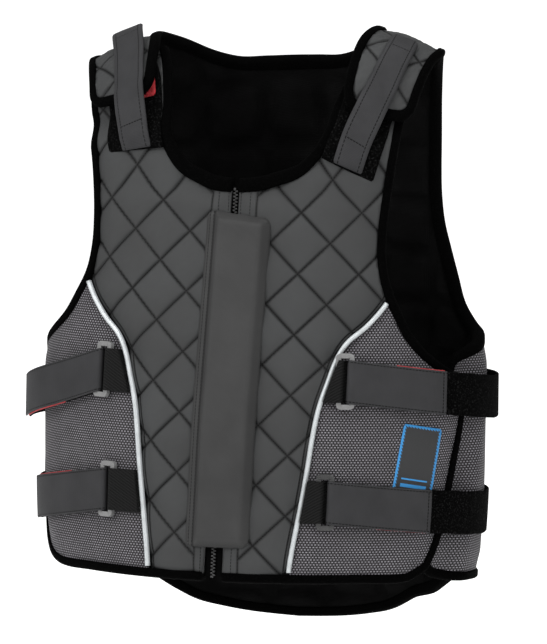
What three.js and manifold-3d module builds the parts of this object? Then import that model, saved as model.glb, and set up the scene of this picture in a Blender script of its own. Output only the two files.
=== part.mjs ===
import * as THREE from "three";
import { mergeVertices } from "three/addons/utils/BufferGeometryUtils.js";
import Module from "manifold-3d";

const wasm = await Module();
wasm.setup();

// Equestrian body protector, in millimetres. +Z is up, the front faces -Y, the wearer's left is +X.
// Panels are drawn flat: "across" runs round the body from the centre line, "along" runs up from the hem
// and over the shoulder, "depth" is measured out from the body's outer face. placeOn() bends them.

// Body form
const halfWidth = 214;
const frontDepth = 130;
const backDepth = 125;
const flatAngle = THREE.MathUtils.degToRad(35);
const bodyLength = 562;
const frontArchFoot = 422;
const backArchFoot = 440;
const frontArchPath = 175;
const backArchPath = 165;
const shoulderSlope = 0.377;
const shoulderTilt = 10;
const seatHeight = 530;

// Layers of the wall
const wall = 18;
const edgeWall = 12;
const edgeDrop = 3;
const edgeRun = 22;
const clearance = 0.5;

// Edge binding
const bindingWidth = 9;
const bindingGap = 0.8;
const bindingTop = -1.5;
const bindingWall = 12;

// Quilting: the diagonal of a stitched square, one crossing, and how far the stitches pull in
const quiltDiagonal = 55.6;
const quiltAcross = 41.6;
const backQuiltAcross = 0;
const quiltAlong = 268;
const quiltPull = 2.6;

// Centre front
const gapTop = 3.5;
const gapBottomLeft = 7;
const gapBottomRight = 13;
const plackets = 22;
const chainWidth = 5.6;
const coverInner = 25;
const coverOuter = 37;
const coverFoot = 93;
const coverLength = 310;
const coverPadding = 10.5;
const coverFlange = 8;
const flangeWall = 2;

// Shoulders
const shoulderSink = 15;
const shoulderThin = 0.3;
const sinkStart = 452;
const sinkRun = 36;
const flapThin = 0.64;
const flapThinRun = 42;
const shoulderTapeWall = 1.5;
const shoulderHookWall = 1;
const shoulderTabWidth = 27;
const shoulderTabWall = 2.4;
const shoulderTabFoot = 444;
const shoulderTabFootAcross = 107;
const shoulderTabTipAcross = 146;

// Side straps
const strapWidth = 40;
const strapWall = 2.2;
const hookWall = 0.8;
const strapBase = 3;
const strapBow = 8;
const strapEndBehind = 396;
const ringLength = 52;
const ringWidth = 17;
const ringRod = 4.6;
const ringLift = 4.7;
const loopWall = 1.6;
const ringCorner = 2.5;
const strapStep = 13;

// Side overlap of the front on the back
const tuckDepth = 14.5;
const tuckThin = 0.6;
const tuckStart = 42;
const tuckRun = 34;

// Certification patch, left bare
const patchAcross = 187;
const patchFoot = 146;
const patchWidth = 38;
const patchHeight = 66;
const patchWall = 0.8;

// Width and depths up the body: "up" is a share of bodyLength, the rest of the named half width and depths
const bodyRows = [
  { up: 0.0, width: 0.965, front: 1.13, back: 0.96 },
  { up: 0.11, width: 0.98, front: 1.115, back: 0.98 },
  { up: 0.24, width: 1.0, front: 1.05, back: 1.0 },
  { up: 0.36, width: 1.0, front: 1.0, back: 1.01 },
  { up: 0.48, width: 1.0, front: 0.915, back: 1.0 },
  { up: 0.6, width: 1.0, front: 0.82, back: 0.95 },
  { up: 0.7, width: 1.0, front: 0.745, back: 0.89 },
  { up: 0.79, width: 1.0, front: 0.705, back: 0.845 },
];

// Pattern curves: "across" is a share of the quarter girth, "up" of the panel's path from hem level to ridge
const frontSideRows = [
  { across: 0.668, up: 0.102 },
  { across: 0.744, up: 0.116 },
  { across: 0.784, up: 0.154 },
  { across: 0.839, up: 0.268 },
  { across: 0.887, up: 0.358 },
  { across: 0.887, up: 0.419 },
];
const frontArmholeRows = [
  { across: 0.887, up: 0.419 },
  { across: 0.77, up: 0.442 },
  { across: 0.655, up: 0.486 },
  { across: 0.56, up: 0.568 },
  { across: 0.543, up: 0.603 },
  { across: 0.543, up: 0.662 },
  { across: 0.565, up: 0.737 },
  { across: 0.594, up: 0.817 },
  { across: 0.642, up: 0.913 },
  { across: 0.679, up: 0.99 },
];
const frontNeckRows = [
  { across: 0.401, up: 0.99 },
  { across: 0.389, up: 0.92 },
  { across: 0.376, up: 0.854 },
  { across: 0.348, up: 0.817 },
  { across: 0.326, up: 0.784 },
  { across: 0.295, up: 0.752 },
  { across: 0.235, up: 0.73 },
  { across: 0.146, up: 0.7136 },
];
const frontPipingRows = [
  { across: 0.256, up: 0.08 },
  { across: 0.265, up: 0.147 },
  { across: 0.299, up: 0.26 },
  { across: 0.322, up: 0.34 },
  { across: 0.337, up: 0.377 },
  { across: 0.36, up: 0.412 },
  { across: 0.387, up: 0.449 },
  { across: 0.4225, up: 0.476 },
  { across: 0.49, up: 0.5025 },
  { across: 0.556, up: 0.539 },
  { across: 0.63, up: 0.6 },
];
const backHemRows = [
  { across: 0.0, up: 0.003 },
  { across: 0.182, up: 0.008 },
  { across: 0.372, up: 0.023 },
  { across: 0.474, up: 0.043 },
  { across: 0.598, up: 0.078 },
  { across: 0.73, up: 0.094 },
  { across: 1.0, up: 0.096 },
  { across: 1.186, up: 0.102 },
  { across: 1.25, up: 0.12 },
  { across: 1.27, up: 0.165 },
  { across: 1.24, up: 0.215 },
  { across: 1.16, up: 0.354 },
  { across: 1.15, up: 0.42 },
];
const backArmholeRows = [
  { across: 1.15, up: 0.42 },
  { across: 1.04, up: 0.431 },
  { across: 0.93, up: 0.445 },
  { across: 0.799, up: 0.4645 },
  { across: 0.7, up: 0.483 },
  { across: 0.655, up: 0.514 },
  { across: 0.602, up: 0.572 },
  { across: 0.552, up: 0.636 },
  { across: 0.539, up: 0.699 },
  { across: 0.58, up: 0.807 },
  { across: 0.638, up: 0.91 },
  { across: 0.684, up: 1.0 },
  { across: 0.671, up: 1.058 },
  { across: 0.635, up: 1.132 },
  { across: 0.615, up: 1.175 },
];
const backNeckRows = [
  { across: 0.372, up: 1.175 },
  { across: 0.386, up: 1.074 },
  { across: 0.396, up: 1.0 },
  { across: 0.379, up: 0.951 },
  { across: 0.328, up: 0.908 },
  { across: 0.263, up: 0.874 },
  { across: 0.182, up: 0.854 },
  { across: 0.0, up: 0.838 },
];
const backSeamRows = [
  { across: 0.32, up: -0.02 },
  { across: 0.36, up: 0.2 },
  { across: 0.4, up: 0.35 },
  { across: 0.46, up: 0.42 },
  { across: 0.56, up: 0.48 },
  { across: 0.66, up: 0.525 },
  { across: 0.8, up: 0.58 },
];

// What differs between the wearer's left (+X) and right sides
const sides = [
  { name: "left", sign: 1, gapBottom: gapBottomLeft, tabTip: 572, tabLift: 1 },
  { name: "right", sign: -1, gapBottom: gapBottomRight, tabTip: 594, tabLift: 6 },
];
const straps = [
  { name: "upper", side: sides[0], ring: 115, height: 248, drop: 10, tabEnd: 214 },
  { name: "lower", side: sides[0], ring: 101, height: 137, drop: 6, tabEnd: 190 },
  { name: "upper", side: sides[1], ring: 129, height: 248, drop: 27, tabEnd: 240 },
  { name: "lower", side: sides[1], ring: 118, height: 139, drop: 19, tabEnd: 236 },
];

// Section: a front arc up to flatAngle, then a tighter side arc
const sinFlat = Math.sin(flatAngle);
const cosFlat = Math.cos(flatAngle);
const sideRadius =
  (frontDepth * sinFlat - halfWidth * (1 - cosFlat)) / (sinFlat * cosFlat - (1 - sinFlat) * (1 - cosFlat));
const faceRadius = (halfWidth - (1 - sinFlat) * sideRadius) / sinFlat;
const faceArc = faceRadius * flatAngle;
const quarterGirth = faceArc + sideRadius * (Math.PI / 2 - flatAngle);
const frontRidge = frontArchFoot + frontArchPath;
const backRidge = backArchFoot + backArchPath;
const neckPoint = faceRadius * Math.sin((backNeckRows[2].across * quarterGirth) / faceRadius);

function ease(value) {
  const share = THREE.MathUtils.clamp(value, 0, 1);
  return share * share * (3 - 2 * share);
}

// Smooth value of one column of a table at "up"
function columnAt(rows, column, up) {
  const last = rows.length - 1;
  const share = THREE.MathUtils.clamp(up, rows[0].up, rows[last].up);
  let k = 0;
  while (k < last - 1 && rows[k + 1].up < share) k += 1;
  const run = rows[k + 1].up - rows[k].up;
  const u = (share - rows[k].up) / run;
  const slope = (i) => {
    const low = rows[Math.max(0, i - 1)];
    const high = rows[Math.min(last, i + 1)];
    return (high[column] - low[column]) / (high.up - low.up);
  };
  const h = u * u * (3 - 2 * u);
  return (
    rows[k][column] * (1 - h) +
    rows[k + 1][column] * h +
    run * (slope(k) * u * (1 - u) * (1 - u) - slope(k + 1) * u * u * (1 - u))
  );
}

function sectionAt(across) {
  if (across < faceArc) {
    const angle = across / faceRadius;
    return { x: faceRadius * Math.sin(angle), y: frontDepth - faceRadius * (1 - Math.cos(angle)) };
  }
  const angle = flatAngle + (across - faceArc) / sideRadius;
  return {
    x: (faceRadius - sideRadius) * sinFlat + sideRadius * Math.sin(angle),
    y: sideRadius * Math.cos(angle),
  };
}

// A point of the outer face. Past the side a front panel's path goes on round the back, and past the
// ridge of the shoulder a back panel's path goes down the front.
function facePoint(panel, across, along) {
  let front = panel === "front";
  let path = along;
  if (!front && path > backRidge) {
    front = true;
    path = frontRidge - (path - backRidge);
  }
  let round = Math.abs(across);
  if (round > quarterGirth) {
    front = !front;
    round = 2 * quarterGirth - round;
  }
  const foot = front ? frontArchFoot : backArchFoot;
  const arch = front ? frontArchPath : backArchPath;
  const height = Math.min(path, foot);
  const climb = (Math.max(0, path - foot) / arch) * (Math.PI / 2);
  const section = sectionAt(round);
  const x = section.x * columnAt(bodyRows, "width", height / bodyLength);
  const share = columnAt(bodyRows, front ? "front" : "back", height / bodyLength);
  const depth = section.y * share * (front ? 1 : backDepth / frontDepth) * Math.cos(climb);
  const shoulder = bodyLength - shoulderSlope * (x - neckPoint);
  const level = height + (shoulder - foot) * Math.sin(climb) * (climb > 0 ? 1 : 0);
  const side = Math.sign(across);
  const tilt = shoulderTilt * side * (x / neckPoint) * ease((level - bodyLength / 2) / (bodyLength / 2));
  return new THREE.Vector3(side * x, front ? -depth : depth, level + tilt - seatHeight);
}

function placeOn(panel, across, along, depth) {
  const step = 0.5;
  const point = facePoint(panel, across, along);
  const round = facePoint(panel, across + step, along).sub(facePoint(panel, across - step, along));
  const up = facePoint(panel, across, along + step).sub(facePoint(panel, across, along - step));
  const outward = round.cross(up).normalize();
  return point.addScaledVector(outward, panel === "front" ? depth : -depth);
}

// The front sinks and thins where it passes under the shoulder flap
function frontLayer(across, along, depth) {
  const under = ease((along - sinkStart) / sinkRun);
  return depth * (1 - (1 - shoulderThin) * under) - shoulderSink * under;
}

// The back thins as it becomes the flap, and tucks under the front at the side
function frontSideAcross(along) {
  return columnAt(frontSideRows.slice(2), "across", along / frontRidge) * quarterGirth;
}

function backLayer(across, along, depth) {
  const flap = ease((along - backRidge) / flapThinRun + 1);
  const lap = Math.abs(across) - (2 * quarterGirth - frontSideAcross(along)) + tuckStart;
  const tuck = ease(lap / tuckRun);
  return depth * (1 - (1 - flapThin) * flap) * (1 - (1 - tuckThin) * tuck) - tuckDepth * tuck;
}

// Flat outlines
function patternPoint(row, ridge) {
  return new THREE.Vector2(row.across * quarterGirth, row.up * ridge);
}

function patternCurve(rows, ridge, spacing) {
  const curve = new THREE.SplineCurve(rows.map((row) => patternPoint(row, ridge)));
  return curve.getSpacedPoints(Math.max(2, Math.round(curve.getLength() / spacing)));
}

const arcSteps = 3;

// Rounds each sharp turn of a line of points
function roundTurns(points, radius) {
  const rounded = [points[0]];
  for (let k = 1; k < points.length - 1; k += 1) {
    const into = points[k].clone().sub(points[k - 1]);
    const out = points[k + 1].clone().sub(points[k]);
    const turn = Math.abs(Math.atan2(into.cross(out), into.dot(out)));
    if (turn < Math.PI / 6) {
      rounded.push(points[k]);
      continue;
    }
    const reach = Math.min(radius * Math.tan(turn / 2), 0.8 * into.length(), 0.8 * out.length());
    const arcRadius = reach / Math.tan(turn / 2);
    const way = Math.sign(into.cross(out));
    const start = points[k].clone().addScaledVector(into.normalize(), -reach);
    const centre = start.clone().addScaledVector(new THREE.Vector2(-into.y, into.x), way * arcRadius);
    for (let j = 0; j <= arcSteps; j += 1) {
      rounded.push(start.clone().rotateAround(centre, (way * turn * j) / arcSteps));
    }
  }
  rounded.push(points[points.length - 1]);
  return rounded;
}

// Moves an open or closed line of points sideways, to its left
function offsetLine(points, distance, closed = false) {
  const count = points.length;
  return points.map((point, k) => {
    const before = closed || k > 0 ? points[(k - 1 + count) % count] : point;
    const after = closed || k < count - 1 ? points[(k + 1) % count] : point;
    const into = point.clone().sub(before);
    const out = after.clone().sub(point);
    if (into.length() === 0) into.copy(out);
    if (out.length() === 0) out.copy(into);
    const one = new THREE.Vector2(-into.y, into.x).normalize();
    const two = new THREE.Vector2(-out.y, out.x).normalize();
    const middle = one.clone().add(two).normalize();
    return point.clone().addScaledVector(middle, distance / Math.max(0.5, middle.dot(one)));
  });
}

const cornerRadius = 13;
const pathSpacing = 26;
const neckDip = 4; // from the neckline's end down to the zip

function frontEdge(gapBottom) {
  const hem = frontSideRows[0].up * frontRidge;
  const neckEnd = patternPoint(frontNeckRows[frontNeckRows.length - 1], frontRidge);
  const start = new THREE.Vector2(gapBottom, hem);
  const corner = patternPoint(frontSideRows[0], frontRidge);
  const hemSteps = Math.round((corner.x - gapBottom) / (2 * pathSpacing));
  const hemLine = Array.from({ length: hemSteps }, (_, k) => start.clone().lerp(corner, k / hemSteps));
  return roundTurns(
    [
      ...hemLine,
      ...patternCurve(frontSideRows, frontRidge, pathSpacing),
      ...patternCurve(frontArmholeRows, frontRidge, pathSpacing).slice(1),
      ...patternCurve(frontNeckRows, frontRidge, pathSpacing),
      new THREE.Vector2((neckEnd.x + gapTop) / 2, neckEnd.y - 0.75 * neckDip),
      new THREE.Vector2(gapTop, neckEnd.y - neckDip),
    ],
    cornerRadius,
  );
}

function backEdge() {
  const half = roundTurns(
    [
      ...patternCurve(backHemRows, backRidge, pathSpacing),
      ...patternCurve(backArmholeRows, backRidge, pathSpacing).slice(1),
      ...patternCurve(backNeckRows, backRidge, pathSpacing),
    ],
    cornerRadius,
  );
  const other = half.slice(1, -1).reverse();
  return [...half, ...other.map((point) => new THREE.Vector2(-point.x, point.y))];
}

// Solids in flat space
function solidOf(geometry) {
  const bare = geometry.clone();
  bare.deleteAttribute("normal");
  bare.deleteAttribute("uv");
  const merged = mergeVertices(bare.index ? bare.toNonIndexed() : bare, 1e-4);
  const vertProperties = new Float32Array(merged.attributes.position.array);
  const triVerts = new Uint32Array(merged.index.array);
  return new wasm.Manifold(new wasm.Mesh({ numProp: 3, vertProperties, triVerts }));
}

// The faces of a flat slab zigzag slightly, so that each point of its grid stays a corner
const slabHalf = 20;
const slabZigzag = 0.3;

function prismOf(points) {
  const shape = new THREE.Shape(points);
  const depth = 3 * slabHalf;
  const geometry = new THREE.ExtrudeGeometry(shape, { depth, bevelEnabled: false });
  return solidOf(geometry.translate(0, 0, -depth / 2));
}

// A flat slab with a grid on both faces. Squares are split along the quilting's stitch lines, and "fine"
// is the number of squares between two crossings.
function gridSlab(points, grid) {
  const box = new THREE.Box2().setFromPoints(points);
  const low = new THREE.Vector2(
    Math.floor((box.min.x - grid.across) / grid.stepAcross) - 1,
    Math.floor((box.min.y - grid.along) / grid.stepAlong) - 1,
  );
  const high = new THREE.Vector2(
    Math.ceil((box.max.x - grid.across) / grid.stepAcross) + 1,
    Math.ceil((box.max.y - grid.along) / grid.stepAlong) + 1,
  );
  const columns = high.x - low.x;
  const rows = high.y - low.y;
  const positions = [];
  for (const level of [slabHalf, -slabHalf]) {
    for (let j = 0; j <= rows; j += 1) {
      for (let i = 0; i <= columns; i += 1) {
        const across = grid.across + (low.x + i) * grid.stepAcross;
        const along = grid.along + (low.y + j) * grid.stepAlong;
        positions.push(across, along, level + ((i * i + j * j) % 3) * slabZigzag);
      }
    }
  }
  const layer = (columns + 1) * (rows + 1);
  const at = (i, j) => j * (columns + 1) + i;
  const index = [];
  for (let j = 0; j < rows; j += 1) {
    for (let i = 0; i < columns; i += 1) {
      const square = Math.floor((low.x + i) / grid.fine) + Math.floor((low.y + j) / grid.fine);
      const [a, b, c, d] = [at(i, j), at(i + 1, j), at(i + 1, j + 1), at(i, j + 1)];
      const triangles = square % 2 === 0 ? [a, b, c, a, c, d] : [a, b, d, b, c, d];
      index.push(...triangles);
      for (let k = 0; k < 6; k += 3) {
        index.push(layer + triangles[k], layer + triangles[k + 2], layer + triangles[k + 1]);
      }
    }
  }
  const wallQuad = (p, q) => index.push(p, p + layer, q + layer, p, q + layer, q);
  for (let i = 0; i < columns; i += 1) {
    wallQuad(at(i, 0), at(i + 1, 0));
    wallQuad(at(i + 1, rows), at(i, rows));
  }
  for (let j = 0; j < rows; j += 1) {
    wallQuad(at(columns, j), at(columns, j + 1));
    wallQuad(at(0, j + 1), at(0, j));
  }
  return new wasm.Manifold(
    new wasm.Mesh({
      numProp: 3,
      vertProperties: new Float32Array(positions),
      triVerts: new Uint32Array(index),
    }),
  );
}

// Turns a solid's mesh into geometry, with every vertex moved by "bend" and its faces pointing out
function bentGeometry(solid, bend) {
  const mesh = solid.getMesh();
  const positions = [];
  for (let k = 0; k < mesh.vertProperties.length; k += mesh.numProp) {
    const point = bend(mesh.vertProperties[k], mesh.vertProperties[k + 1], mesh.vertProperties[k + 2]);
    positions.push(point.x, point.y, point.z);
  }
  return outwardGeometry(positions, [...mesh.triVerts]);
}

function outwardGeometry(positions, index) {
  const corner = (k) => new THREE.Vector3().fromArray(positions, 3 * k);
  let volume = 0;
  for (let k = 0; k < index.length; k += 3) {
    volume += corner(index[k]).dot(corner(index[k + 1]).cross(corner(index[k + 2])));
  }
  if (volume < 0) index.reverse();
  const geometry = new THREE.BufferGeometry();
  geometry.setAttribute("position", new THREE.Float32BufferAttribute(positions, 3));
  geometry.setIndex(index);
  geometry.computeVertexNormals();
  return geometry;
}

function distanceTo(line, across, along) {
  const point = new THREE.Vector2(across, along);
  let least = Infinity;
  for (let k = 0; k < line.length; k += 1) {
    const start = line[k];
    const run = line[(k + 1) % line.length].clone().sub(start);
    const length = Math.max(run.lengthSq(), 1e-9);
    const share = THREE.MathUtils.clamp(point.clone().sub(start).dot(run) / length, 0, 1);
    least = Math.min(least, point.distanceTo(start.clone().addScaledVector(run, share)));
  }
  return least;
}

// A panel: a slab cut to its outline, given its two faces and bent on to the body
function panelGeometry({ panel, sign = 1, outline, keep, cut, seam, grid, layer, outer, inner }) {
  let solid = gridSlab(outline, grid).intersect(prismOf(outline));
  if (keep) solid = solid.intersect(prismOf(keep));
  if (cut) solid = solid.subtract(prismOf(cut));
  const edge = (across, along) => {
    const toEdge = distanceTo(outline, across, along);
    const toSeam = seam ? distanceTo([...seam, ...seam.slice(1, -1).reverse()], across, along) : Infinity;
    return ease(Math.min(toEdge, toSeam) / edgeRun);
  };
  return bentGeometry(solid, (across, along, level) => {
    const face = level > 0 ? outer : inner;
    const depth = layer(across, along, face(edge(across, along), across, along));
    return placeOn(panel, sign * across, along, depth);
  });
}

function quiltPuff(across, along, origin) {
  const right = ((across - origin + along - quiltAlong) / quiltDiagonal) * Math.PI;
  const left = ((across - origin - along + quiltAlong) / quiltDiagonal) * Math.PI;
  return Math.sqrt(Math.abs(Math.sin(right) * Math.sin(left)));
}

function quiltFace(edge, across, along, origin, flat = false) {
  return -edgeDrop * (1 - edge) - (flat ? 0 : quiltPull * (1 - quiltPuff(across, along, origin)));
}

function quiltGrid(fine, across = quiltAcross) {
  const step = quiltDiagonal / 2 / fine;
  return { across, along: quiltAlong, stepAcross: step, stepAlong: step, fine };
}

function plainGrid(stepAcross, stepAlong = stepAcross) {
  return { across: 0, along: 0, stepAcross, stepAlong, fine: 1 };
}

const plainOuter = (edge) => -edgeDrop * (1 - edge);
const plainInner = (edge) => -edgeWall - (wall - edgeWall) * edge;

// A line with a polygon section of [inward, depth] points, closed or with flat ends
function sweptGeometry({ panel, sign = 1, line, section, closed, layer }) {
  const rings = section.map(([inward]) => offsetLine(line, inward, closed));
  const positions = [];
  line.forEach((_, k) => {
    section.forEach(([, depth], j) => {
      const { x, y } = rings[j][k];
      const point = placeOn(panel, sign * x, y, layer(x, y, depth));
      positions.push(point.x, point.y, point.z);
    });
  });
  const sidesCount = section.length;
  const index = [];
  const steps = closed ? line.length : line.length - 1;
  for (let k = 0; k < steps; k += 1) {
    const here = k * sidesCount;
    const next = ((k + 1) % line.length) * sidesCount;
    for (let j = 0; j < sidesCount; j += 1) {
      const m = (j + 1) % sidesCount;
      index.push(here + j, here + m, next + m, here + j, next + m, next + j);
    }
  }
  if (!closed) {
    const last = (line.length - 1) * sidesCount;
    for (let j = 1; j < sidesCount - 1; j += 1) {
      index.push(0, j + 1, j, last, last + j, last + j + 1);
    }
  }
  return outwardGeometry(positions, index);
}

const bindingBottom = bindingTop - bindingWall;
const bindingRound = 3;
const bindingSection = [
  [0, bindingBottom + bindingRound],
  [0, bindingTop - bindingRound],
  [bindingRound, bindingTop],
  [bindingWidth, bindingTop],
  [bindingWidth, bindingBottom],
  [bindingRound, bindingBottom],
];

// Parts and their finishes
const group = new THREE.Group();
group.name = "body_protector";

const finishes = {
  quilt: { color: 0x4d4f50, roughness: 0.6 },
  mesh: { color: 0x5f585c, roughness: 0.85 },
  black: { color: 0x080808, roughness: 0.95 },
  piping: { color: 0xbec6ca, roughness: 0.35 },
  cover: { color: 0x4b4b4d, roughness: 0.55 },
  webbing: { color: 0x424346, roughness: 0.75 },
  hook: { color: 0xbe0a1e, roughness: 0.7 },
  ring: { color: 0x8d8f91, roughness: 0.4 },
  darkRing: { color: 0x2a2b2d, roughness: 0.4 },
  zip: { color: 0x101011, roughness: 0.5 },
  patch: { color: 0x1982c8, roughness: 0.6 },
};

function addPart(name, geometry, finish) {
  const material = new THREE.MeshStandardMaterial({ ...finishes[finish], metalness: 0 });
  const mesh = new THREE.Mesh(geometry, material);
  mesh.name = name;
  group.add(mesh);
}

// Front halves
const inset = bindingWidth + bindingGap;
const pipingHalf = 2.2;
const pipingProud = 0.8;

// The area on the centre side of a seam line, and on to the edges of the pattern
function centreSide(seam, offset) {
  const line = offsetLine(seam, offset);
  const last = line[line.length - 1];
  const far = 2 * backRidge;
  return [
    new THREE.Vector2(-far, line[0].y - far),
    new THREE.Vector2(line[0].x, line[0].y - far),
    ...line,
    new THREE.Vector2(last.x + far, last.y),
    new THREE.Vector2(last.x + far, far),
    new THREE.Vector2(-far, far),
  ];
}

function seamStrip(seam, half) {
  return [...offsetLine(seam, -half), ...offsetLine(seam, half).reverse()];
}

function addFront(side) {
  const { name, sign } = side;
  const edge = frontEdge(side.gapBottom);
  const outline = offsetLine(edge, inset);
  const seam = patternCurve(frontPipingRows, frontRidge, pathSpacing);
  const shared = { panel: "front", sign, outline, layer: frontLayer };
  const seamGap = pipingHalf + clearance;
  addPart(
    `front_panel_${name}`,
    panelGeometry({
      ...shared,
      keep: centreSide(seam, seamGap),
      seam,
      grid: quiltGrid(1),
      outer: (share, across, along) => quiltFace(share, across, along, quiltAcross, across < plackets),
      inner: plainInner,
    }),
    "quilt",
  );
  addPart(
    `front_mesh_${name}`,
    panelGeometry({
      ...shared,
      cut: centreSide(seam, -seamGap),
      seam,
      grid: quiltGrid(1),
      outer: plainOuter,
      inner: plainInner,
    }),
    "mesh",
  );
  addPart(
    `front_piping_${name}`,
    panelGeometry({
      ...shared,
      keep: seamStrip(seam, pipingHalf),
      grid: quiltGrid(1),
      outer: () => -edgeDrop + pipingProud,
      inner: () => -edgeWall,
    }),
    "piping",
  );
  addPart(
    `front_binding_${name}`,
    sweptGeometry({
      panel: "front",
      sign,
      line: edge,
      section: bindingSection,
      closed: false,
      layer: frontLayer,
    }),
    "black",
  );
}

// Back
function addBack() {
  const loop = backEdge();
  const outline = offsetLine(loop, inset, true);
  const seam = patternCurve(backSeamRows, backRidge, pathSpacing);
  const shared = { panel: "back", outline, layer: backLayer };
  const mirrored = (points) => points.map((point) => new THREE.Vector2(-point.x, point.y)).reverse();
  const centre = centreSide(seam, clearance);
  const side = centreSide(seam, -clearance);
  const backGrid = quiltGrid(1, backQuiltAcross);
  const low = gridSlab(outline, backGrid).intersect(prismOf(outline));
  const quilted = low.intersect(prismOf(centre)).intersect(prismOf(mirrored(centre)));
  const share = (across, along) => ease(distanceTo(outline, across, along) / edgeRun);
  addPart(
    "back_panel",
    bentGeometry(quilted, (across, along, level) => {
      const edge = share(across, along);
      const depth = level > 0 ? quiltFace(edge, across, along, backQuiltAcross) : plainInner(edge);
      return placeOn("back", across, along, backLayer(across, along, depth));
    }),
    "quilt",
  );
  for (const { name, sign } of sides) {
    const meshHalf = outline.filter((point) => point.x > 0);
    addPart(
      `back_mesh_${name}`,
      panelGeometry({
        ...shared,
        sign,
        outline: meshHalf,
        cut: side,
        grid: backGrid,
        outer: plainOuter,
        inner: plainInner,
      }),
      "mesh",
    );
  }
  addPart(
    "back_binding",
    sweptGeometry({ panel: "back", line: loop, section: bindingSection, closed: true, layer: backLayer }),
    "black",
  );
}

// A flat piece of cloth on one of the panels, with rounded corners
function patchGeometry({ panel, sign, outline, low, high, grid, layer }) {
  const solid = gridSlab(outline, grid).intersect(prismOf(outline));
  return bentGeometry(solid, (across, along, level) => {
    const depth = layer(across, along, 0) + (level > 0 ? high : low)(across, along);
    return placeOn(panel, sign * across, along, depth);
  });
}

function roundedBox(low, high, radius) {
  const corners = [
    new THREE.Vector2((low.x + high.x) / 2, low.y),
    new THREE.Vector2(high.x, low.y),
    new THREE.Vector2(high.x, high.y),
    new THREE.Vector2(low.x, high.y),
    new THREE.Vector2(low.x, low.y),
    new THREE.Vector2((low.x + high.x) / 2, low.y),
  ];
  return roundTurns(corners, radius).slice(0, -1);
}

const flatLayer = (across, along, depth) => depth;

// Zip and its padded cover
const coverRadius = 7;
const coverSlope = 9;
const coverSeat = -0.8;
const coverEdgeLift = 0.6;
const zipDepth = -7;
const tapeWall = 1.3;
const chainWall = 3;
const chainSteps = 14;

function addZip() {
  const foot = frontSideRows[0].up * frontRidge + clearance;
  const top = frontNeckRows[frontNeckRows.length - 1].up * frontRidge - inset;
  // The tape fills the gap between the halves, which narrows upwards
  const tapeFace = (depth) =>
    Array.from({ length: chainSteps + 1 }, (_, k) => {
      return new THREE.Vector2(THREE.MathUtils.lerp(foot, top, k / chainSteps), depth);
    });
  addPart(
    "zip_tape",
    bentGeometry(bandSolid(tapeFace(zipDepth - tapeWall), tapeFace(zipDepth), 1), (along, depth, side) => {
      const share = (along - foot) / (top - foot);
      const left = THREE.MathUtils.lerp(gapBottomLeft, gapTop, share) - clearance;
      const right = clearance - THREE.MathUtils.lerp(gapBottomRight, gapTop, share);
      return placeOn("front", THREE.MathUtils.lerp(right, left, side + 0.5), along, depth);
    }),
    "zip",
  );
  const middle = (gapBottomLeft - gapBottomRight) / 2;
  const chainFoot = new THREE.Vector2(middle, foot);
  const chainTop = new THREE.Vector2(0, top);
  const chainLine = Array.from({ length: chainSteps + 1 }, (_, k) =>
    chainFoot.clone().lerp(chainTop, k / chainSteps),
  );
  addPart(
    "zip_chain",
    sweptGeometry({
      panel: "front",
      line: chainLine,
      section: [
        [-chainWidth / 2, zipDepth + clearance],
        [chainWidth / 2, zipDepth + clearance],
        [chainWidth / 2, zipDepth + chainWall],
        [-chainWidth / 2, zipDepth + chainWall],
      ],
      closed: false,
      layer: flatLayer,
    }),
    "zip",
  );
  const low = new THREE.Vector2(-coverInner, coverFoot);
  const high = new THREE.Vector2(coverOuter, coverFoot + coverLength);
  const outline = roundedBox(low, high, coverRadius);
  const padded = (across, along) => {
    const fromFlange = across + coverInner - coverFlange;
    const fromEdge = distanceTo(outline, across, along);
    return ease(Math.min(fromFlange, fromEdge + 1) / coverSlope);
  };
  addPart(
    "zip_cover",
    bentGeometry(
      gridSlab(outline, { ...plainGrid(6.2, 50), along: coverFoot + 5 }).intersect(prismOf(outline)),
      (across, along, level) => {
        const thick = flangeWall + (coverPadding - flangeWall) * padded(across, along);
        const lift = coverSeat + coverEdgeLift * ease((across - coverInner) / (coverOuter - coverInner));
        return placeOn("front", across, along, lift + (level > 0 ? thick : 0));
      },
    ),
    "cover",
  );
}

// Shoulder fastening: loop tape on the front, hook tape under the flap and a stitched tab over it
const tapeFoot = 458;
const tapeInner = 105;
const tapeOuter = 143;
const tapeLean = 26;
const tapeTopGap = 25; // below the ridge
const tapeCorner = 3;
const hookShift = 5;
const hookLean = 12;
const hookCorner = 4;
const tabCorner = 9;
const tabRise = 12;
const tabSink = 14;
const tabClear = 0.9;
const tabLiftStart = 530;
const hookFoot = 494;
const hookTop = 545;

function slantedStrip(foot, top, footMiddle, topMiddle, width, radius) {
  const half = width / 2;
  const corners = [
    new THREE.Vector2(footMiddle, foot),
    new THREE.Vector2(footMiddle + half, foot),
    new THREE.Vector2(topMiddle + half, top),
    new THREE.Vector2(topMiddle - half, top),
    new THREE.Vector2(footMiddle - half, foot),
    new THREE.Vector2(footMiddle, foot),
  ];
  return roundTurns(corners, radius).slice(0, -1);
}

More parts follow.
